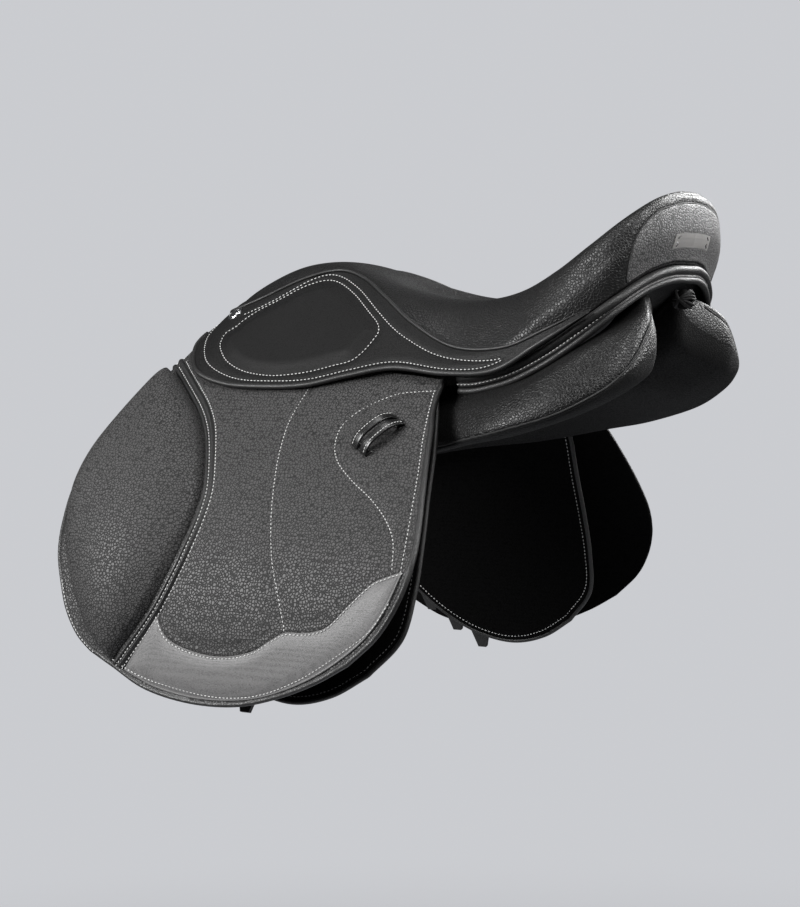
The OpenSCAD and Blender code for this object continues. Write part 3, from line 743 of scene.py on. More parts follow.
def make_rolls():
    upper = roll_path(ROLL_D / 2 + 2.4, 1.8)
    lower = roll_path(ROLL_D + PANEL_ROLL_D / 2 + 3.2, 0.8, sag=3.6)
    valley = roll_path(ROLL_D + 3.0, 3.2, sag=1.0)
    filler = roll_path(ROLL_D + 3.0, 0.4, sag=1.2)
    for name, path, radius, sides, stands_for in (
        ("seat_welt", upper, ROLL_D / 2, 18, "seat_roll"),
        ("panel_welt", lower, PANEL_ROLL_D / 2, 16, "panel_roll"),
    ):
        welt = add_mesh(name, *tube(path, radius, sides), ROLL)
        on_saddle(welt, [stands_for])
    on_saddle(add_mesh("welt_stitches", *stitch_row(valley), WHITE_THREAD))
    on_saddle(add_mesh("welt_filler", *tube(filler, 2.7, 10), PIPING))


make_rolls()

# ---------------------------------------------------------------- skirts

SKIRT_SEAM = [
    [-228, -42, 86], [-212, -54, 97], [-180, -56, 110], [-145, -52, 121], [-110, -47, 127], [-78, -56, 120],
    [-44, -76, 103], [-4, -97, 80], [45, -113, 60], [95, -120, 60], [135, -121, 75], [172, -117, 93],
]
SKIRT_EDGE = [
    [-234, -54, 80], [-236, -90, 60], [-214, -123, 38], [-178, -133, 27], [-136, -136, 25], [-92, -134, 27],
    [-50, -128, 36], [-8, -123, 43], [45, -128, 39], [90, -126, 42], [130, -124, 64], [173, -119, 90],
]
SKIRT_T = 3.0
# positions on the skirt: along it in seam points, then 0 at its seam to 1 at its edge
WELT_V = [0.10, 0.18, 0.13, 0.03, 0, 0, 0, 0, 0, 0, 0, 0]
INSERT = [
    [2.02, 0.46], [1.84, 0.56], [1.99, 0.67], [2.26, 0.74], [2.69, 0.82], [3.33, 0.88], [4.04, 0.91],
    [4.72, 0.89], [5.40, 0.85], [5.86, 0.82], [6.06, 0.72], [6.19, 0.56], [6.24, 0.40], [6.01, 0.29],
    [5.25, 0.18], [4.48, 0.11], [3.89, 0.08], [3.46, 0.09], [3.14, 0.12], [2.73, 0.20], [2.33, 0.28],
    [2.1, 0.38], [2.02, 0.46],
]
UPPER_STITCH = [
    [1.92, 0.30], [2.33, 0.235], [2.73, 0.16], [3.12, 0.08], [3.42, 0.04], [3.8, 0.03], [4.48, 0.06],
    [5.36, 0.12], [6.07, 0.20], [6.93, 0.33], [7.53, 0.42], [8.06, 0.43], [8.55, 0.45], [9.02, 0.50],
]
LOWER_STITCH = [
    [0.55, 0.22], [0.72, 0.5], [1.05, 0.72], [1.37, 0.80], [1.85, 0.86], [2.48, 0.91], [3.05, 0.94],
    [3.64, 0.955], [4.27, 0.955], [5.06, 0.95], [5.97, 0.93], [6.75, 0.89], [7.3, 0.87], [7.97, 0.85],
    [8.39, 0.83], [8.76, 0.76], [9.07, 0.62],
]


def skirt_at(t, v):
    """Skirt points at paired positions."""
    v = np.asarray(v, float)[..., None]
    return spline(SKIRT_SEAM, t) * (1 - v) + spline(SKIRT_EDGE, t) * v


def skirt_line(positions, step=1.0):
    at = along(np.array(positions), np.linspace(0, 1, 30 * len(positions)))
    return evenly(skirt_at(at[:, 0], at[:, 1]), step)


def inside_outline(points, outline):
    """True where 2-D points lie inside a closed outline."""
    a, b = outline, np.roll(outline, -1, axis=0)
    x, y = points[..., 0:1], points[..., 1:2]
    crosses = (a[:, 1] > y) != (b[:, 1] > y)
    at = a[:, 0] + (y - a[:, 1]) / np.where(b[:, 1] == a[:, 1], 1e-9, b[:, 1] - a[:, 1]) * (b[:, 0] - a[:, 0])
    return (crosses & (x < at)).sum(-1) % 2 == 1


insert_line = skirt_line(INSERT)
insert_outline = along(np.array(INSERT), np.linspace(0, 1, 300))
upper_line = skirt_line(UPPER_STITCH)
lower_line = skirt_line(LOWER_STITCH)


def skirt_rise(points, t, v):
    """How far the skirt's outer face stands above its plain form: padded insert, sunk seams, rolled edge."""
    within = inside_outline(np.stack([t, v], -1), insert_outline)
    from_insert = nearest(points, insert_line)
    puff = np.where(within, 3.4 * ease(from_insert / 15), 0.0)
    sewn = np.minimum(nearest(points, upper_line), nearest(points, lower_line))
    band = np.where(within, 0.0, 0.7 * ease(np.minimum(from_insert, sewn) / 6))
    return puff + band - 0.7 * dip(from_insert, 1.5) - 0.5 * dip(sewn, 1.3)


def skirt_thread(positions):
    """A row of stitches that lies just on the skirt's plain form."""
    t, v = along(np.array(positions), np.linspace(0, 1, 30 * len(positions))).T
    points = skirt_at(t, v)
    out = unit(np.cross(skirt_at(t + 0.01, v) - points, skirt_at(t, v + 0.01) - points))
    return stitch_row(points - out * np.sign(out[:, 1:2]) * 0.15)


def tapered(path, radius, over=45.0):
    """A radius along a path that thins out towards its far end."""
    left = lengths(path)[-1] - lengths(path)
    return radius * (0.12 + 0.88 * ease(left / over))


STUD_R = 6.8
STUD_RING_R = 7.0
STUD_PETALS = 8


def make_studs():
    """A small plain rosette on each pommel stud: a petalled dome inside a ring."""
    at, below, beside = skirt_at(np.array([1.45, 1.45, 1.55]), np.array([0.28, 0.38, 0.28]))
    out = unit(np.cross(beside - at, below - at))
    out = -out * np.sign(out[1])
    side = unit(np.cross(out, [0, 0, 1.0]))
    phi = turn(64)
    spoke = np.cos(phi)[:, None] * side + np.sin(phi)[:, None] * np.cross(side, out)
    rows = []
    for reach in np.linspace(0.12, 1, 12):
        petals = 0.55 * reach * (0.5 + 0.5 * np.cos(STUD_PETALS * phi))
        height = 0.6 + 2.6 * math.sqrt(1.02 - reach**2) - petals
        rows.append(at + STUD_R * reach * spoke + height[:, None] * out)
    count = len(phi)
    faces = [tuple(f) for f in grid_faces(len(rows), count, ring=True)] + [tuple(range(count))[::-1]]
    ring = at + STUD_RING_R * spoke + 0.9 * out
    hoop, _ = tube(np.concatenate([ring, ring[:3]]), 0.9, 10)
    hoop = hoop.reshape(-1, 10, 3)[1:-2]
    hoop_faces = grid_faces(len(hoop) + 1, 10, ring=True)[:, ::-1] % (len(hoop) * 10)
    shape = joined((np.concatenate(rows), faces), (hoop.reshape(-1, 3), hoop_faces))
    pair("stud_rosette", shape, STUD, "saddle", ["pommel_studs"])


def make_skirts():
    spans = ((0, 2.4, 50), (2.4, 9.2, 170), (9.2, 11, 36))
    t = np.unique(np.concatenate([np.linspace(*span) for span in spans]))
    w = steps(120, 1.7, (0.0, 0.4, 1.0, 1.8, 3.0))
    v = np.broadcast_to(w[None], (len(t), len(w)))
    tt = np.broadcast_to(t[:, None], v.shape)
    base = skirt_at(tt.ravel(), v.ravel()).reshape(*v.shape, 3)
    out = normals_of(base)
    out = -out if out[..., 1].sum() > 0 else out
    rise = skirt_rise(base, tt, v)
    outer = base + out * rise[..., None]
    drop = rounding(rim_distance(outer), 1.3)[..., None]
    inner = base - out * (SKIRT_T - drop)
    shape = closed_sheet(outer - out * drop, inner)
    centre_t = (tt[:-1, :-1] + tt[1:, 1:]) / 2
    centre_v = (v[:-1, :-1] + v[1:, 1:]) / 2
    within = inside_outline(np.stack([centre_t, centre_v], -1), insert_outline).ravel().astype(int)
    stands_for = ["skirt_top_{}", "skirt_{}"]
    pair("skirt_leather", shape, [SKIRT, SMOOTH], "skirt_bend", stands_for, looks=within)

    edge = smooth_path(spline(SKIRT_EDGE, np.linspace(0.5, 11, 160)), 2.0)
    bead = tube(edge + [0, -0.6, -0.2], tapered(edge, 2.4), 12)
    pair("skirt_bead", bead, PIPING, "skirt_bend")

    rows = joined(*[skirt_thread(line) for line in (INSERT, UPPER_STITCH, LOWER_STITCH)])
    pair("skirt_stitches", rows, WHITE_THREAD, "skirt_bend")

    welt_t = np.linspace(0.0, 11, 200)
    welt = smooth_path(skirt_at(welt_t, spline(WELT_V, welt_t)) + [0, -0.5, 1.0], 2.0)
    pair("seat_piping", tube(welt, tapered(welt, 1.5), 10), PIPING, "saddle")


make_skirts()
make_studs()

# ---------------------------------------------------------------- how far the flap stands out

DRAPE_Y = [60, 112, 155, 190, 218, 241, 255, 261, 263, 263]
DRAPE_TOP = 80
DRAPE_STEP = 40


def drape(z):
    flat = np.asarray(z, float)
    return spline(DRAPE_Y, (DRAPE_TOP - flat.ravel()) / DRAPE_STEP).reshape(flat.shape)


def on_drape(xz, out=0.0):
    """Points of the flap's outer face, moved out square to it."""
    xz = np.asarray(xz, float)
    z = xz[..., 1]
    slope = drape(z + 0.5) - drape(z - 0.5)
    n = unit(columns(0.0, -1.0, -slope))
    return columns(xz[..., 0], -drape(z), z) + n * np.asarray(out)[..., None]


# ---------------------------------------------------------------- flap

FLAP_T = 5.0
FLAP_TOP = [[-236, 62], [-208, 49], [-160, 42], [-110, 41], [-60, 41], [0, 37], [41, 33]]
FLAP_FRONT = [
    [-236, 62], [-241, 46], [-254, 22], [-270, -8], [-283, -38], [-288.5, -66], [-286, -94], [-280, -120],
    [-270, -144], [-259, -168], [-245, -188], [-229, -201],
]
FLAP_REAR = [
    [41, 33], [44, 12], [52, -7], [60, -32], [67, -57], [73, -82], [76, -104], [74, -127], [66, -150],
    [52, -172], [28, -194],
]
FLAP_FOOT = [
    [-229, -201], [-205, -213], [-171, -229], [-126, -237], [-80, -236], [-39, -226], [-2, -211],
    [28, -194],
]
STRIP_LEFT = [
    [-247, 38], [-229, 27], [-208, 13], [-189, -1], [-173, -17], [-159, -38], [-149, -62], [-147, -83],
    [-149, -103], [-156, -130], [-172, -165], [-205, -209],
]
STRIP_RIGHT = [
    [-240, 48], [-222, 36], [-202, 23], [-181, 8], [-163, -10], [-149, -34], [-138, -60], [-136, -82],
    [-138, -104], [-144, -130], [-160, -167], [-193, -213],
]
TOE_SEAM = [
    [-162, -166], [-150, -183], [-126, -192], [-95, -195], [-65, -189], [-46, -178], [-33, -171],
    [-18, -170], [-4, -168], [9, -162], [26, -144], [42, -128], [54, -122], [68, -117],
]
TOE_FOOT = [
    [-193, -214], [-160, -226], [-120, -232], [-79, -230.5], [-47, -224], [-14, -211], [14, -195],
    [42, -172.5], [58.5, -148], [68, -119],
]
EDGE_STITCH = [
    [36, 22], [45, -11], [55, -45], [62, -84], [66, -117], [61, -143], [46, -166], [13, -190], [-16, -208],
    [-49, -222], [-79, -228], [-114, -228], [-166, -220], [-198, -209], [-216, -198],
]
MIDDLE_SEAM = [
    [-90, 23], [-92, -3], [-88, -27], [-81, -52], [-71, -83], [-58, -115], [-45, -142], [-34, -169],
]
KEEPER_SEAM = [
    [36, 24], [18, 23], [-1, 20], [-24, 9], [-37, -5], [-36, -21], [-26, -35], [-6, -49], [17, -62],
    [37, -77], [51, -94], [57, -115],
]
BEAD_W = 4.6

flap_outline = on_drape(
    np.concatenate([smooth_path(FLAP_FRONT), smooth_path(FLAP_FOOT), smooth_path(FLAP_REAR)[::-1]])
)
toe_line = on_drape(smooth_path(TOE_SEAM))
middle_line = on_drape(smooth_path(MIDDLE_SEAM))
keeper_line = on_drape(smooth_path(KEEPER_SEAM))
edge_stitch_line = on_drape(smooth_path(EDGE_STITCH))
toe_outline = np.concatenate([smooth_path(TOE_SEAM, 3.0), smooth_path(TOE_FOOT, 3.0)[::-1]])


def flap_rise(xz):
    """How far the flap's outer face stands above its plain form: rolled edge, sunk seams, soft fullness."""
    face = on_drape(xz)
    from_edge = nearest(face, flap_outline)
    bead = 1.2 * np.sin(math.pi * np.clip(from_edge / BEAD_W, 0, 1)) ** 0.6
    seams = [nearest(face, line) for line in (middle_line, keeper_line, toe_line)]
    stitched = nearest(face, edge_stitch_line)
    nearest_seam = np.minimum(np.min(seams, axis=0), stitched)
    fullness = 1.1 * ease(nearest_seam / 16)
    sunk_seams = 0.9 * dip(np.minimum(seams[0], seams[1]), 1.5) + 0.8 * dip(stitched, 1.4)
    ridge = 1.1 * dip(seams[2] - 2.2, 1.6)
    under_toe = inside_outline(xz, toe_outline)
    return np.where(under_toe, -0.2, bead + fullness - sunk_seams + ridge)


def make_flaps():
    u = steps(330, 2.6)
    v = steps(330, 2.6, (0.0, 0.4, 1.0, 1.8, 2.8, 3.9, 5.0, 6.2))
    xz = patch(FLAP_TOP, FLAP_FOOT, FLAP_FRONT, FLAP_REAR, u, v)
    plain = on_drape(xz)
    out = on_drape(xz, 1.0) - plain
    outer = plain + out * flap_rise(xz)[..., None]
    drop = rounding(rim_distance(plain), 2.1)[..., None]
    inner = plain - out * (0.75 * FLAP_T - drop)
    points, faces = closed_sheet(outer - out * drop, inner)
    front = (len(u) - 1) * (len(v) - 1)
    centres = (xz[:-1, :-1] + xz[1:, 1:]) / 2
    bound = nearest(on_drape(centres), flap_outline).ravel() < BEAD_W
    looks = np.full(len(faces), 2)
    looks[:front] = 3 * bound
    looks[front : 2 * front] = 1
    materials, stands_for = [GRAIN, LINING, EDGE, PIPING], ["flap_top_{}", "flap_{}"]
    pair("flap_leather", (points, faces), materials, "flap_bend", stands_for, looks=looks)


make_flaps()


def flap_thread(points, lift=0.25):
    """A row of stitches on the flap's face."""
    xz = smooth_path(points)
    return stitch_row(on_drape(xz, flap_rise(xz) + lift))


# ---------------------------------------------------------------- toe patch

TOE_LIFT = 1.5


def make_toe_patches():
    u = steps(240, 2.4, (0.0, 0.3, 0.8, 1.5, 2.5))
    v = steps(40, 1.6, (0.0, 0.3, 0.8, 1.5, 2.5))
    xz = patch(TOE_SEAM, TOE_FOOT, [TOE_SEAM[0], TOE_FOOT[0]], [TOE_SEAM[-1], TOE_FOOT[-1]], u, v)
    plain = on_drape(xz)
    out = on_drape(xz, 1.0) - plain
    from_rim = rim_distance(plain)
    body = TOE_LIFT + 0.9 * ease(from_rim / 14) - 0.5 * dip(np.minimum(np.abs(from_rim - 2.2), 9), 0.9)
    drop = rounding(from_rim, 1.0)
    outer = plain + out * (body - drop)[..., None]
    shape = closed_sheet(outer, plain + out * 0.1)
    pair("toe_leather", shape, TOE, "flap", ["toe_patch_{}"])


def make_flap_stitches():
    seam_thread = smooth_path(np.array(TOE_SEAM, float) - [0, 2.0])
    foot = smooth_path([p for p in EDGE_STITCH if p[1] < -118])
    front = smooth_path(np.array(FLAP_FRONT[-4:], float) + [3.4, 0.4])
    rows = joined(
        stitch_row(on_drape(seam_thread, TOE_LIFT + 0.1)),
        stitch_row(on_drape(foot, TOE_LIFT + 0.05)),
        stitch_row(on_drape(front, flap_rise(front) + 0.2)),
        flap_thread(MIDDLE_SEAM),
    )
    pair("flap_stitches_low", rows, WHITE_THREAD, "flap_bend")
    rear = [p for p in EDGE_STITCH if p[1] > -118 and p[0] > 0]
    upper = joined(flap_thread(KEEPER_SEAM), flap_thread(rear))
    pair("flap_stitches_rear", upper, WHITE_THREAD, "flap_bend")


make_toe_patches()
make_flap_stitches()

# ---------------------------------------------------------------- strip behind the knee block

STRIP_PROFILE = [0.15, 2.2, 2.5, 2.3, 1.2, 1.0, 2.4, 3.2, 3.2, 2.4, 0.9, 0.5, 0.15]


def strip_grid(widths, heights):
    left, right = (smooth_path(points, 2.0) for points in (STRIP_LEFT, STRIP_RIGHT))
    s = np.linspace(0, 1, 170)
    left, right = along(left, s), along(right, s)
    xz = left[:, None] + (right - left)[:, None] * widths[None, :, None]
    return on_drape(xz, np.broadcast_to(heights, xz.shape[:2]))


def make_strips():
    w = np.linspace(0, 1, 37)
    outer = strip_grid(w, along(STRIP_PROFILE, w))
    inner = strip_grid(w, np.full(len(w), 0.05))
    pair("knee_strip", closed_sheet(outer, inner), PIPING, "flap_bend")
    lines = strip_grid(np.array([0.38, 0.9]), np.array([1.35, 1.05]))
    rows = joined(stitch_row(lines[:, 0]), stitch_row(lines[:, 1]))
    pair("knee_strip_stitches", rows, WHITE_THREAD, "flap_bend")


make_strips()

# ---------------------------------------------------------------- knee block

BLOCK_DEPTH = 26.0
BLOCK_WALL = 4.6
BLOCK_FRONT = [
    [-246, 34], [-254, 16], [-267, -12], [-278.5, -40], [-282, -67], [-277, -94], [-269, -118],
    [-258, -142], [-247, -163], [-234, -182], [-218, -198],
]


def make_knee_blocks():
    """The padded block: full along its upper front edge, flatter below, and falling away to the strip."""
    u = steps(120, 2.4, (0.0, 0.4, 1.0, 1.9, 3.0, 4.4, 6.0))
    v = steps(300, 2.6, (0.0, 0.4, 1.0, 1.9, 3.0, 4.4, 6.0))
    top = np.array([BLOCK_FRONT[0]] * 2) + [[0, 0], [1.5, 0]]
    rear = np.concatenate([top[1:], np.array(STRIP_LEFT[1:]) - [1.2, 0]])
    xz = patch(top, [BLOCK_FRONT[-1], rear[-1]], BLOCK_FRONT, rear, u, v)
    uu, vv = np.meshgrid(u, v)
    low = ease((vv - 0.38) / 0.4)
    front = np.sin(math.pi * np.clip(uu, 0, 1) ** 0.86) ** mix(0.5, 0.85, low)
    ends = np.sin(math.pi * vv**0.9) ** 0.5
    depth = BLOCK_WALL + (BLOCK_DEPTH - BLOCK_WALL) * front * ends
    hollow = (uu - 0.36 - 0.30 * (0.45 - vv)) / 0.16
    depth = depth - 1.8 * np.exp(-(hollow**2)) * ease(vv / 0.25) * ease((0.7 - vv) / 0.3)
    from_rim = rim_distance(on_drape(xz))
    wall = np.minimum(BLOCK_WALL, 0.6 + from_rim * mix(2.5, 0.5, low))
    height = depth - BLOCK_WALL + wall - rounding(from_rim, 2.4)
    shape = closed_sheet(on_drape(xz, np.maximum(height, 0.2)), on_drape(xz, 0.1))
    pair("knee_pad", shape, GRAIN, "flap_bend", ["knee_block_{}"])


make_knee_blocks()

# ---------------------------------------------------------------- keeper on the flap

KEEPER_AT = (4.0, -14.0)
KEEPER_TURN = math.radians(56)
KEEPER_SLOPE = math.radians(46)
KEEPER_L = 45.0
KEEPER_W = 22.0
KEEPER_RISE = 10.6
KEEPER_SLOT = 3.8


def keeper_place(local):
    """Points of the keeper, from its length, its width and its height above the flap, to the frame."""
    length, width, height = np.moveaxis(local, -1, 0)
    x = KEEPER_AT[0] + length * math.cos(KEEPER_TURN) - width * math.sin(KEEPER_TURN)
    fall = length * math.sin(KEEPER_TURN) + width * math.cos(KEEPER_TURN)
    xz = np.stack([x, KEEPER_AT[1] + fall * math.cos(KEEPER_SLOPE)], -1)
    return on_drape(xz, flap_rise(xz) + height)


def keeper_lift(s):
    """How high a band stands above the flap, from its one end at -1 to its other end at 1."""
    return 0.4 + (KEEPER_RISE - 2.4) * (1 - np.abs(s) ** 3.2)


def bulging(wave_value, power):
    """A sine or cosine with a flattened crest."""
    return np.sign(wave_value) * np.abs(wave_value) ** power


def keeper_strap(y0, y1):
    """One of the keeper's two bands: it rises from the flap, runs level and comes down again."""
    s = np.linspace(-1, 1, 49)[:, None]
    section = turn(20)
    across = (y0 + y1) / 2 + (y1 - y0) / 2 * bulging(np.cos(section), 0.35)
    thick = 1.3 + 1.3 * bulging(np.sin(section), 0.5)
    points = keeper_place(columns(s * KEEPER_L / 2, across, keeper_lift(s) + thick))
    rows, count = points.shape[:2]
    faces = [tuple(f) for f in grid_faces(rows, count, ring=True)]
    faces.append(tuple(range(count))[::-1])
    faces.append(tuple(range((rows - 1) * count, rows * count)))
    return points.reshape(-1, 3), faces


def make_keepers():
    half, inner = KEEPER_W / 2, KEEPER_SLOT / 2
    bands = joined(keeper_strap(-half, -inner), keeper_strap(inner, half))
    pair("keeper_bands", bands, GLOSS, "flap", ["stirrup_keeper_{}"])

    along_tab = np.linspace(-1, 1, 21)[:, None]
    across_tab = along_tab.T
    thick = 0.3 + 1.6 * (1 - np.abs(along_tab) ** 6) * (1 - np.abs(across_tab) ** 8)
    tabs = []
    for end in (-1, 1):
        length, width = end * (KEEPER_L / 2 - 4 + 4 * along_tab), half * across_tab
        tabs.append(closed_sheet(*[keeper_place(columns(length, width, h)) for h in (thick, 0.0)]))
    pair("keeper_tabs", joined(*tabs), GLOSS, "flap")

    s = np.linspace(-0.93, 0.93, 60)
    rows = []
    for y in (-half + 2.6, half - 2.6):
        line = keeper_place(columns(s * KEEPER_L / 2, y, keeper_lift(s) + 2.75))
        rows.append(stitch_row(line, pitch=2.9, radius=0.4))
    pair("keeper_stitches", joined(*rows), WHITE_THREAD, "flap")


make_keepers()

# ---------------------------------------------------------------- sweat flap

SWEAT_T = 3.0
STRAP_TILT = 18.5
STRAP_PIVOT = (0.0, -131.0, 5.0)
SWEAT_GAP = 8.0
SWEAT_MIDDLE = (-90.0, -90.0)
SWEAT_SEAM_IN = 5.0
SWEAT_TOP = [[-244, 19], [-205, 36], [-150, 42], [-90, 42], [-40, 41], [0, 36], [30, 28]]
SWEAT_FOOT = [[-182, -166], [-160, -190], [-132, -214], [-98, -232], [-60, -239], [-24, -231], [8, -212]]
SWEAT_FRONT = [[-244, 19], [-258, -20], [-256, -60], [-242, -98], [-217, -134], [-182, -166]]
SWEAT_REAR = [[30, 28], [34, 0], [37, -30], [38, -65], [40, -105], [40, -145], [34, -182], [8, -212]]


def sweat_point(xz, inward=0.0):
    """Points of the sweat flap's outer face: beside the straps, and inside the flap where that is nearer."""
    xz = np.asarray(xz, float)
    z = xz[..., 1]
    plane = -STRAP_PIVOT[1] + math.tan(math.radians(STRAP_TILT)) * (STRAP_PIVOT[2] - z) - SWEAT_GAP
    y = np.minimum(plane, drape(z) - FLAP_T - 7.5)
    return columns(xz[..., 0], inward - y, z)


def make_sweat_flaps():
    u = steps(300, 5.0, (0.0, 0.4, 1.0, 2.0, 3.5))
    v = steps(270, 5.0, (0.0, 0.4, 1.0, 2.0, 3.5))
    xz = patch(SWEAT_TOP, SWEAT_FOOT, SWEAT_FRONT, SWEAT_REAR, u, v)
    outer = sweat_point(xz)
    drop = rounding(rim_distance(outer), 1.2)
    shape = closed_sheet(outer + columns(0.0, drop, 0.0), sweat_point(xz, SWEAT_T - drop))
    pair("sweat_leather", shape, LINING, "saddle", ["sweat_flap_{}"])
    border = [smooth_path(SWEAT_FRONT), smooth_path(SWEAT_FOOT)[1:], smooth_path(SWEAT_REAR)[-2::-1]]
    outline = evenly(np.concatenate(border), 2.5)
    binding = tube(sweat_point(outline, SWEAT_T / 2), 2.1, 10)
    pair("sweat_binding", binding, PIPING, "saddle")
    inset = outline + unit(np.array(SWEAT_MIDDLE) - outline) * SWEAT_SEAM_IN
    # the outer face's stitches use the thread painted dim grey: painted shade
    for name, inward, colour in (("inner", SWEAT_T + 0.1, WHITE_THREAD), ("outer", -0.1, THREAD_PAINTED_SHADE)):
        rows = stitch_row(sweat_point(inset, inward))
        pair(f"sweat_stitches_{name}", rows, colour, "saddle")


make_sweat_flaps()

# ---------------------------------------------------------------- panels

PANEL_X = [-206, -170, -110, -50, 20, 74, 114, 160, 192, 208, 218]
PANEL_RINGS = np.array(
    [
        [[-44, 50], [-50, 42], [-63, 18], [-80, -16], [-94, -46], [-84, -44], [-62, -6], [-46, 34]],
        [[-40, 50], [-52, 42], [-74, 26], [-96, -12], [-108, -52], [-92, -50], [-66, -10], [-44, 28]],
        [[-34, 48], [-56, 40], [-82, 26], [-110, -6], [-118, -46], [-98, -44], [-62, -10], [-36, 20]],
        [[-32, 48], [-58, 42], [-88, 30], [-110, 2], [-118, -36], [-96, -36], [-62, -8], [-34, 16]],
        [[-32, 46], [-62, 43], [-90, 34], [-113, 6], [-119, -28], [-98, -28], [-62, -4], [-34, 16]],
        [[-32, 40], [-66, 38], [-98, 32], [-134, 12], [-150, -17], [-118, -18], [-70, -2], [-34, 18]],
        [[-32, 46], [-68, 44], [-106, 38], [-144, 22], [-160, -8], [-124, -11], [-74, 3], [-34, 22]],
        [[-32, 72], [-66, 72], [-102, 64], [-138, 46], [-155, 6], [-118, 4], [-72, 14], [-34, 32]],
        [[-32, 94], [-56, 96], [-84, 86], [-118, 66], [-140, 24], [-106, 20], [-68, 32], [-34, 52]],
        [[-32, 102], [-48, 104], [-70, 96], [-104, 74], [-126, 38], [-100, 32], [-66, 42], [-34, 62]],
        [[-38, 84], [-50, 88], [-68, 84], [-92, 70], [-108, 50], [-86, 44], [-64, 50], [-42, 64]],
    ],
    float,
)
PANEL_WRAP = np.concatenate([PANEL_RINGS[:, -1:], PANEL_RINGS, PANEL_RINGS[:, :2]], axis=1)
# the gusset's seam: stations from front to back, then round the ring from its top inner corner
GUSSET = [
    [2.5, 3.9], [4, 3.9], [6, 3.93], [7.56, 3.95], [8.6, 3.93], [9.2, 3.8], [9.55, 3.5], [9.62, 3.1],
    [9.58, 2.4], [9.45, 1.7],
]
ROUND_FROM = 9.15


def panel_at(s, a):
    """Panel points at paired positions: station s, and a round the ring from 0 to 8."""
    s = np.asarray(s, float)
    rows = weights(11, s)
    ring = np.einsum("pr,rcd,pc->pd", rows, PANEL_WRAP, weights(11, 1 + np.asarray(a, float)))
    middle = rows @ PANEL_RINGS.mean(1)
    reach = np.clip((s - ROUND_FROM) / (10 - ROUND_FROM), 0, 1)
    ring = middle + (ring - middle) * ((1 - reach**2.8) ** (1 / 2.8))[:, None]
    x = spline(PANEL_X, s)
    lag = 20 * ease((88 + ring[:, 0]) / 52) * ease((x - 140) / 60)
    return np.column_stack([x - lag, ring])


def make_panels():
    end = ROUND_FROM + (10 - ROUND_FROM) * np.sin(np.linspace(0, 0.49 * math.pi, 40))
    s = np.concatenate([np.linspace(0, 0.5, 12)[:-1], np.linspace(0.5, ROUND_FROM, 150)[:-1], end])
    a = np.linspace(0, 8, 168, endpoint=False)
    ss, aa = np.meshgrid(s, a, indexing="ij")
    grid = panel_at(ss.ravel(), aa.ravel()).reshape(len(s), len(a), 3)
    seam_at = along(np.array(GUSSET), np.linspace(0, 1, 400))
    seam = evenly(panel_at(seam_at[:, 0], seam_at[:, 1]), 1.2)
    down = np.gradient(grid, axis=0)
    around = (np.roll(grid, -1, axis=1) - np.roll(grid, 1, axis=1)) / 2
    out = np.cross(around, down)
    out /= np.maximum(np.linalg.norm(out, axis=2, keepdims=True), 1e-9)
    centre = grid.mean(1, keepdims=True)
    if ((grid - centre) * out).sum() < 0:
        out = -out
    from_seam = nearest(grid, seam)
    rise = -1.2 * dip(from_seam, 1.9) + 0.8 * ease(from_seam / 18) - 0.8
    shaped = grid + out * rise[..., None]
    count = len(a)
    hubs = shaped[[0, -1]].mean(1) + np.array([[-1.0, 0, 0], [0.3, 0, 0]])
    points = np.concatenate([shaped.reshape(-1, 3), hubs])
    faces = [tuple(f) for f in grid_faces(len(s), count, ring=True)]
    total, last = len(s) * count, (len(s) - 1) * count
    for c in range(count):
        d = (c + 1) % count
        faces += [(total, d, c), (total + 1, last + c, last + d)]
    # the underside and inner face of each panel wear the almost black copy of the leather: painted shade
    under = np.broadcast_to((a > 3.95) & (a < 7.8), (len(s) - 1, count)).ravel()
    shape, materials, stands_for = (points, faces), [PANEL_PAINTED_SHADE, UNDERSIDE_PAINTED_SHADE], ["panel_{}"]
    pair("wool_panel", shape, materials, "saddle", stands_for, looks=under)
    flat_grid, flat_out = grid.reshape(-1, 3), out.reshape(-1, 3)
    seam_out = np.array([flat_out[np.argmin(((flat_grid - p) ** 2).sum(1))] for p in seam])
    cord = tube(smooth_path((seam - 1.7 * seam_out)[::3], 2.0), 0.9, 8)
    pair("gusset_piping", cord, BLACK_THREAD, "saddle")


make_panels()

# ---------------------------------------------------------------- lacing knot at the back of the channel


KNOT_CENTRE = (207.0, 0.0, 101.0)
KNOT_R = 9.2
KNOT_TURNS = 11


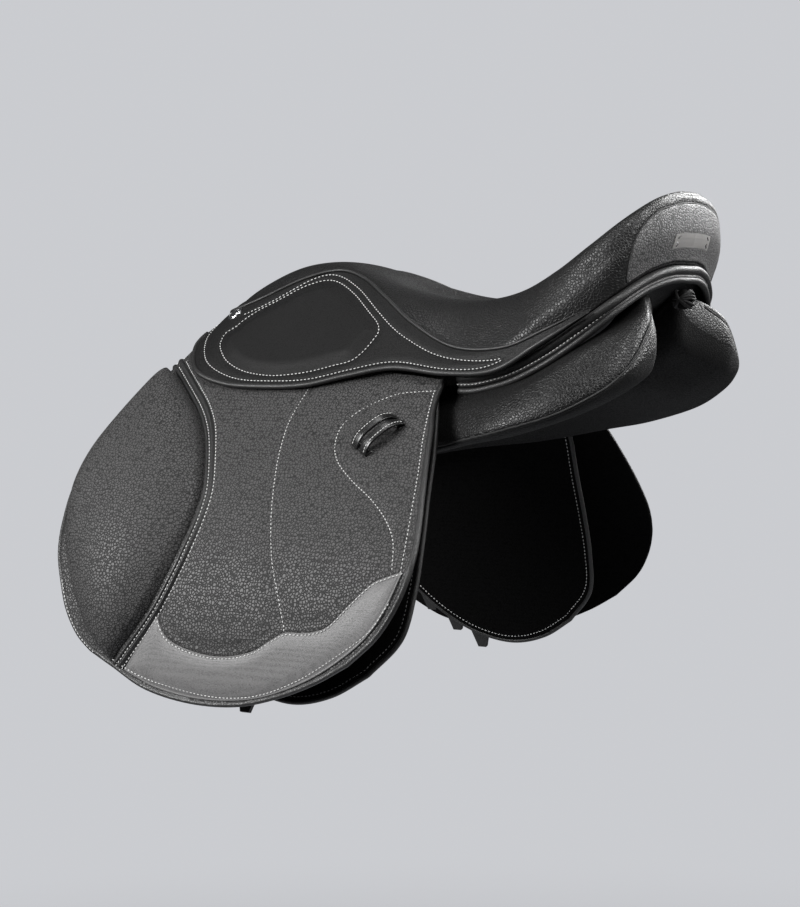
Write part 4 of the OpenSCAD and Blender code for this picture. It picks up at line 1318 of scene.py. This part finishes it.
def make_knot():
    """A button knot: one lace wound round and round a core."""
    t = np.linspace(0, 2 * math.pi, 1100)
    reach = KNOT_R + 0.5 * np.sin(13 * t)
    tilt = 0.9 * np.sin(5 * t / 2)
    out, side = reach * np.cos(KNOT_TURNS * t), reach * np.sin(KNOT_TURNS * t)
    path = np.column_stack([out * np.cos(tilt), side, out * np.sin(tilt)])
    lace = add_mesh("knot_lace", *tube(path + KNOT_CENTRE, 1.2, 8), BLACK_LACE)
    on_saddle(lace)
    theta, phi = np.meshgrid(np.linspace(0.02, math.pi - 0.02, 20), turn(32), indexing="ij")
    core = np.stack([np.cos(theta), np.sin(theta) * np.cos(phi), np.sin(theta) * np.sin(phi)], -1)
    points = (core * (KNOT_R - 0.6) + KNOT_CENTRE).reshape(-1, 3)
    faces = [tuple(f) for f in grid_faces(*theta.shape, ring=True)[:, ::-1]]
    on_saddle(add_mesh("knot_core", points, faces, LINING), ["lacing_knot"])


make_knot()

# ---------------------------------------------------------------- floor, background and view

FLOOR_DROP = 0.75
BACKDROP = (0.594, 0.604, 0.631)


def make_floor():
    """A pale round sheet of studio paper, whose rim melts into the background."""
    work = bmesh.new()
    bmesh.ops.create_circle(work, cap_ends=True, segments=96, radius=3.0)
    mesh = bpy.data.meshes.new("floor")
    work.to_mesh(mesh)
    work.free()
    material, tree, shader = new_material("floor_paper")
    place = node(tree, "ShaderNodeTexCoord").outputs["Object"]
    tone = noise_node(tree, place, 3.0, 3.0)
    tree.links.new(tinted(tree, tone, (0.31, 0.315, 0.33), (0.33, 0.335, 0.35)), shader.inputs["Base Color"])
    shader.inputs["Roughness"].default_value = 0.9
    shader.inputs["Specular IOR Level"].default_value = 0.1
    far = node(tree, "ShaderNodeVectorMath", {0: place}, operation="LENGTH").outputs["Value"]
    fade = {"Value": far, "From Min": 0.5, "From Max": 2.4, "To Min": 1.0, "To Max": 0.0}
    alpha = node(tree, "ShaderNodeMapRange", fade, interpolation_type="SMOOTHSTEP").outputs["Result"]
    tree.links.new(alpha, shader.inputs["Alpha"])
    mesh.materials.append(material)
    floor = bpy.data.objects.new("floor", mesh)
    floor.location.z = cad_box[0].z - FLOOR_DROP
    scene.collection.objects.link(floor)


def make_world():
    """A pale, even background that itself sheds little light, so that the softboxes shape the leather."""
    world = bpy.data.worlds.new("studio")
    world.use_nodes = True
    tree = world.node_tree
    seen = tree.nodes["Background"]
    seen.inputs["Color"].default_value = (*BACKDROP, 1)
    shed = node(tree, "ShaderNodeBackground", {"Color": (*BACKDROP, 1), "Strength": 0.10})
    path = node(tree, "ShaderNodeLightPath").outputs["Is Camera Ray"]
    both = node(tree, "ShaderNodeMixShader", {0: path, 1: shed.outputs[0], 2: seen.outputs[0]})
    tree.links.new(both.outputs[0], tree.nodes["World Output"].inputs["Surface"])
    scene.world = world


make_floor()
make_world()
scene.view_settings.view_transform = "Standard"
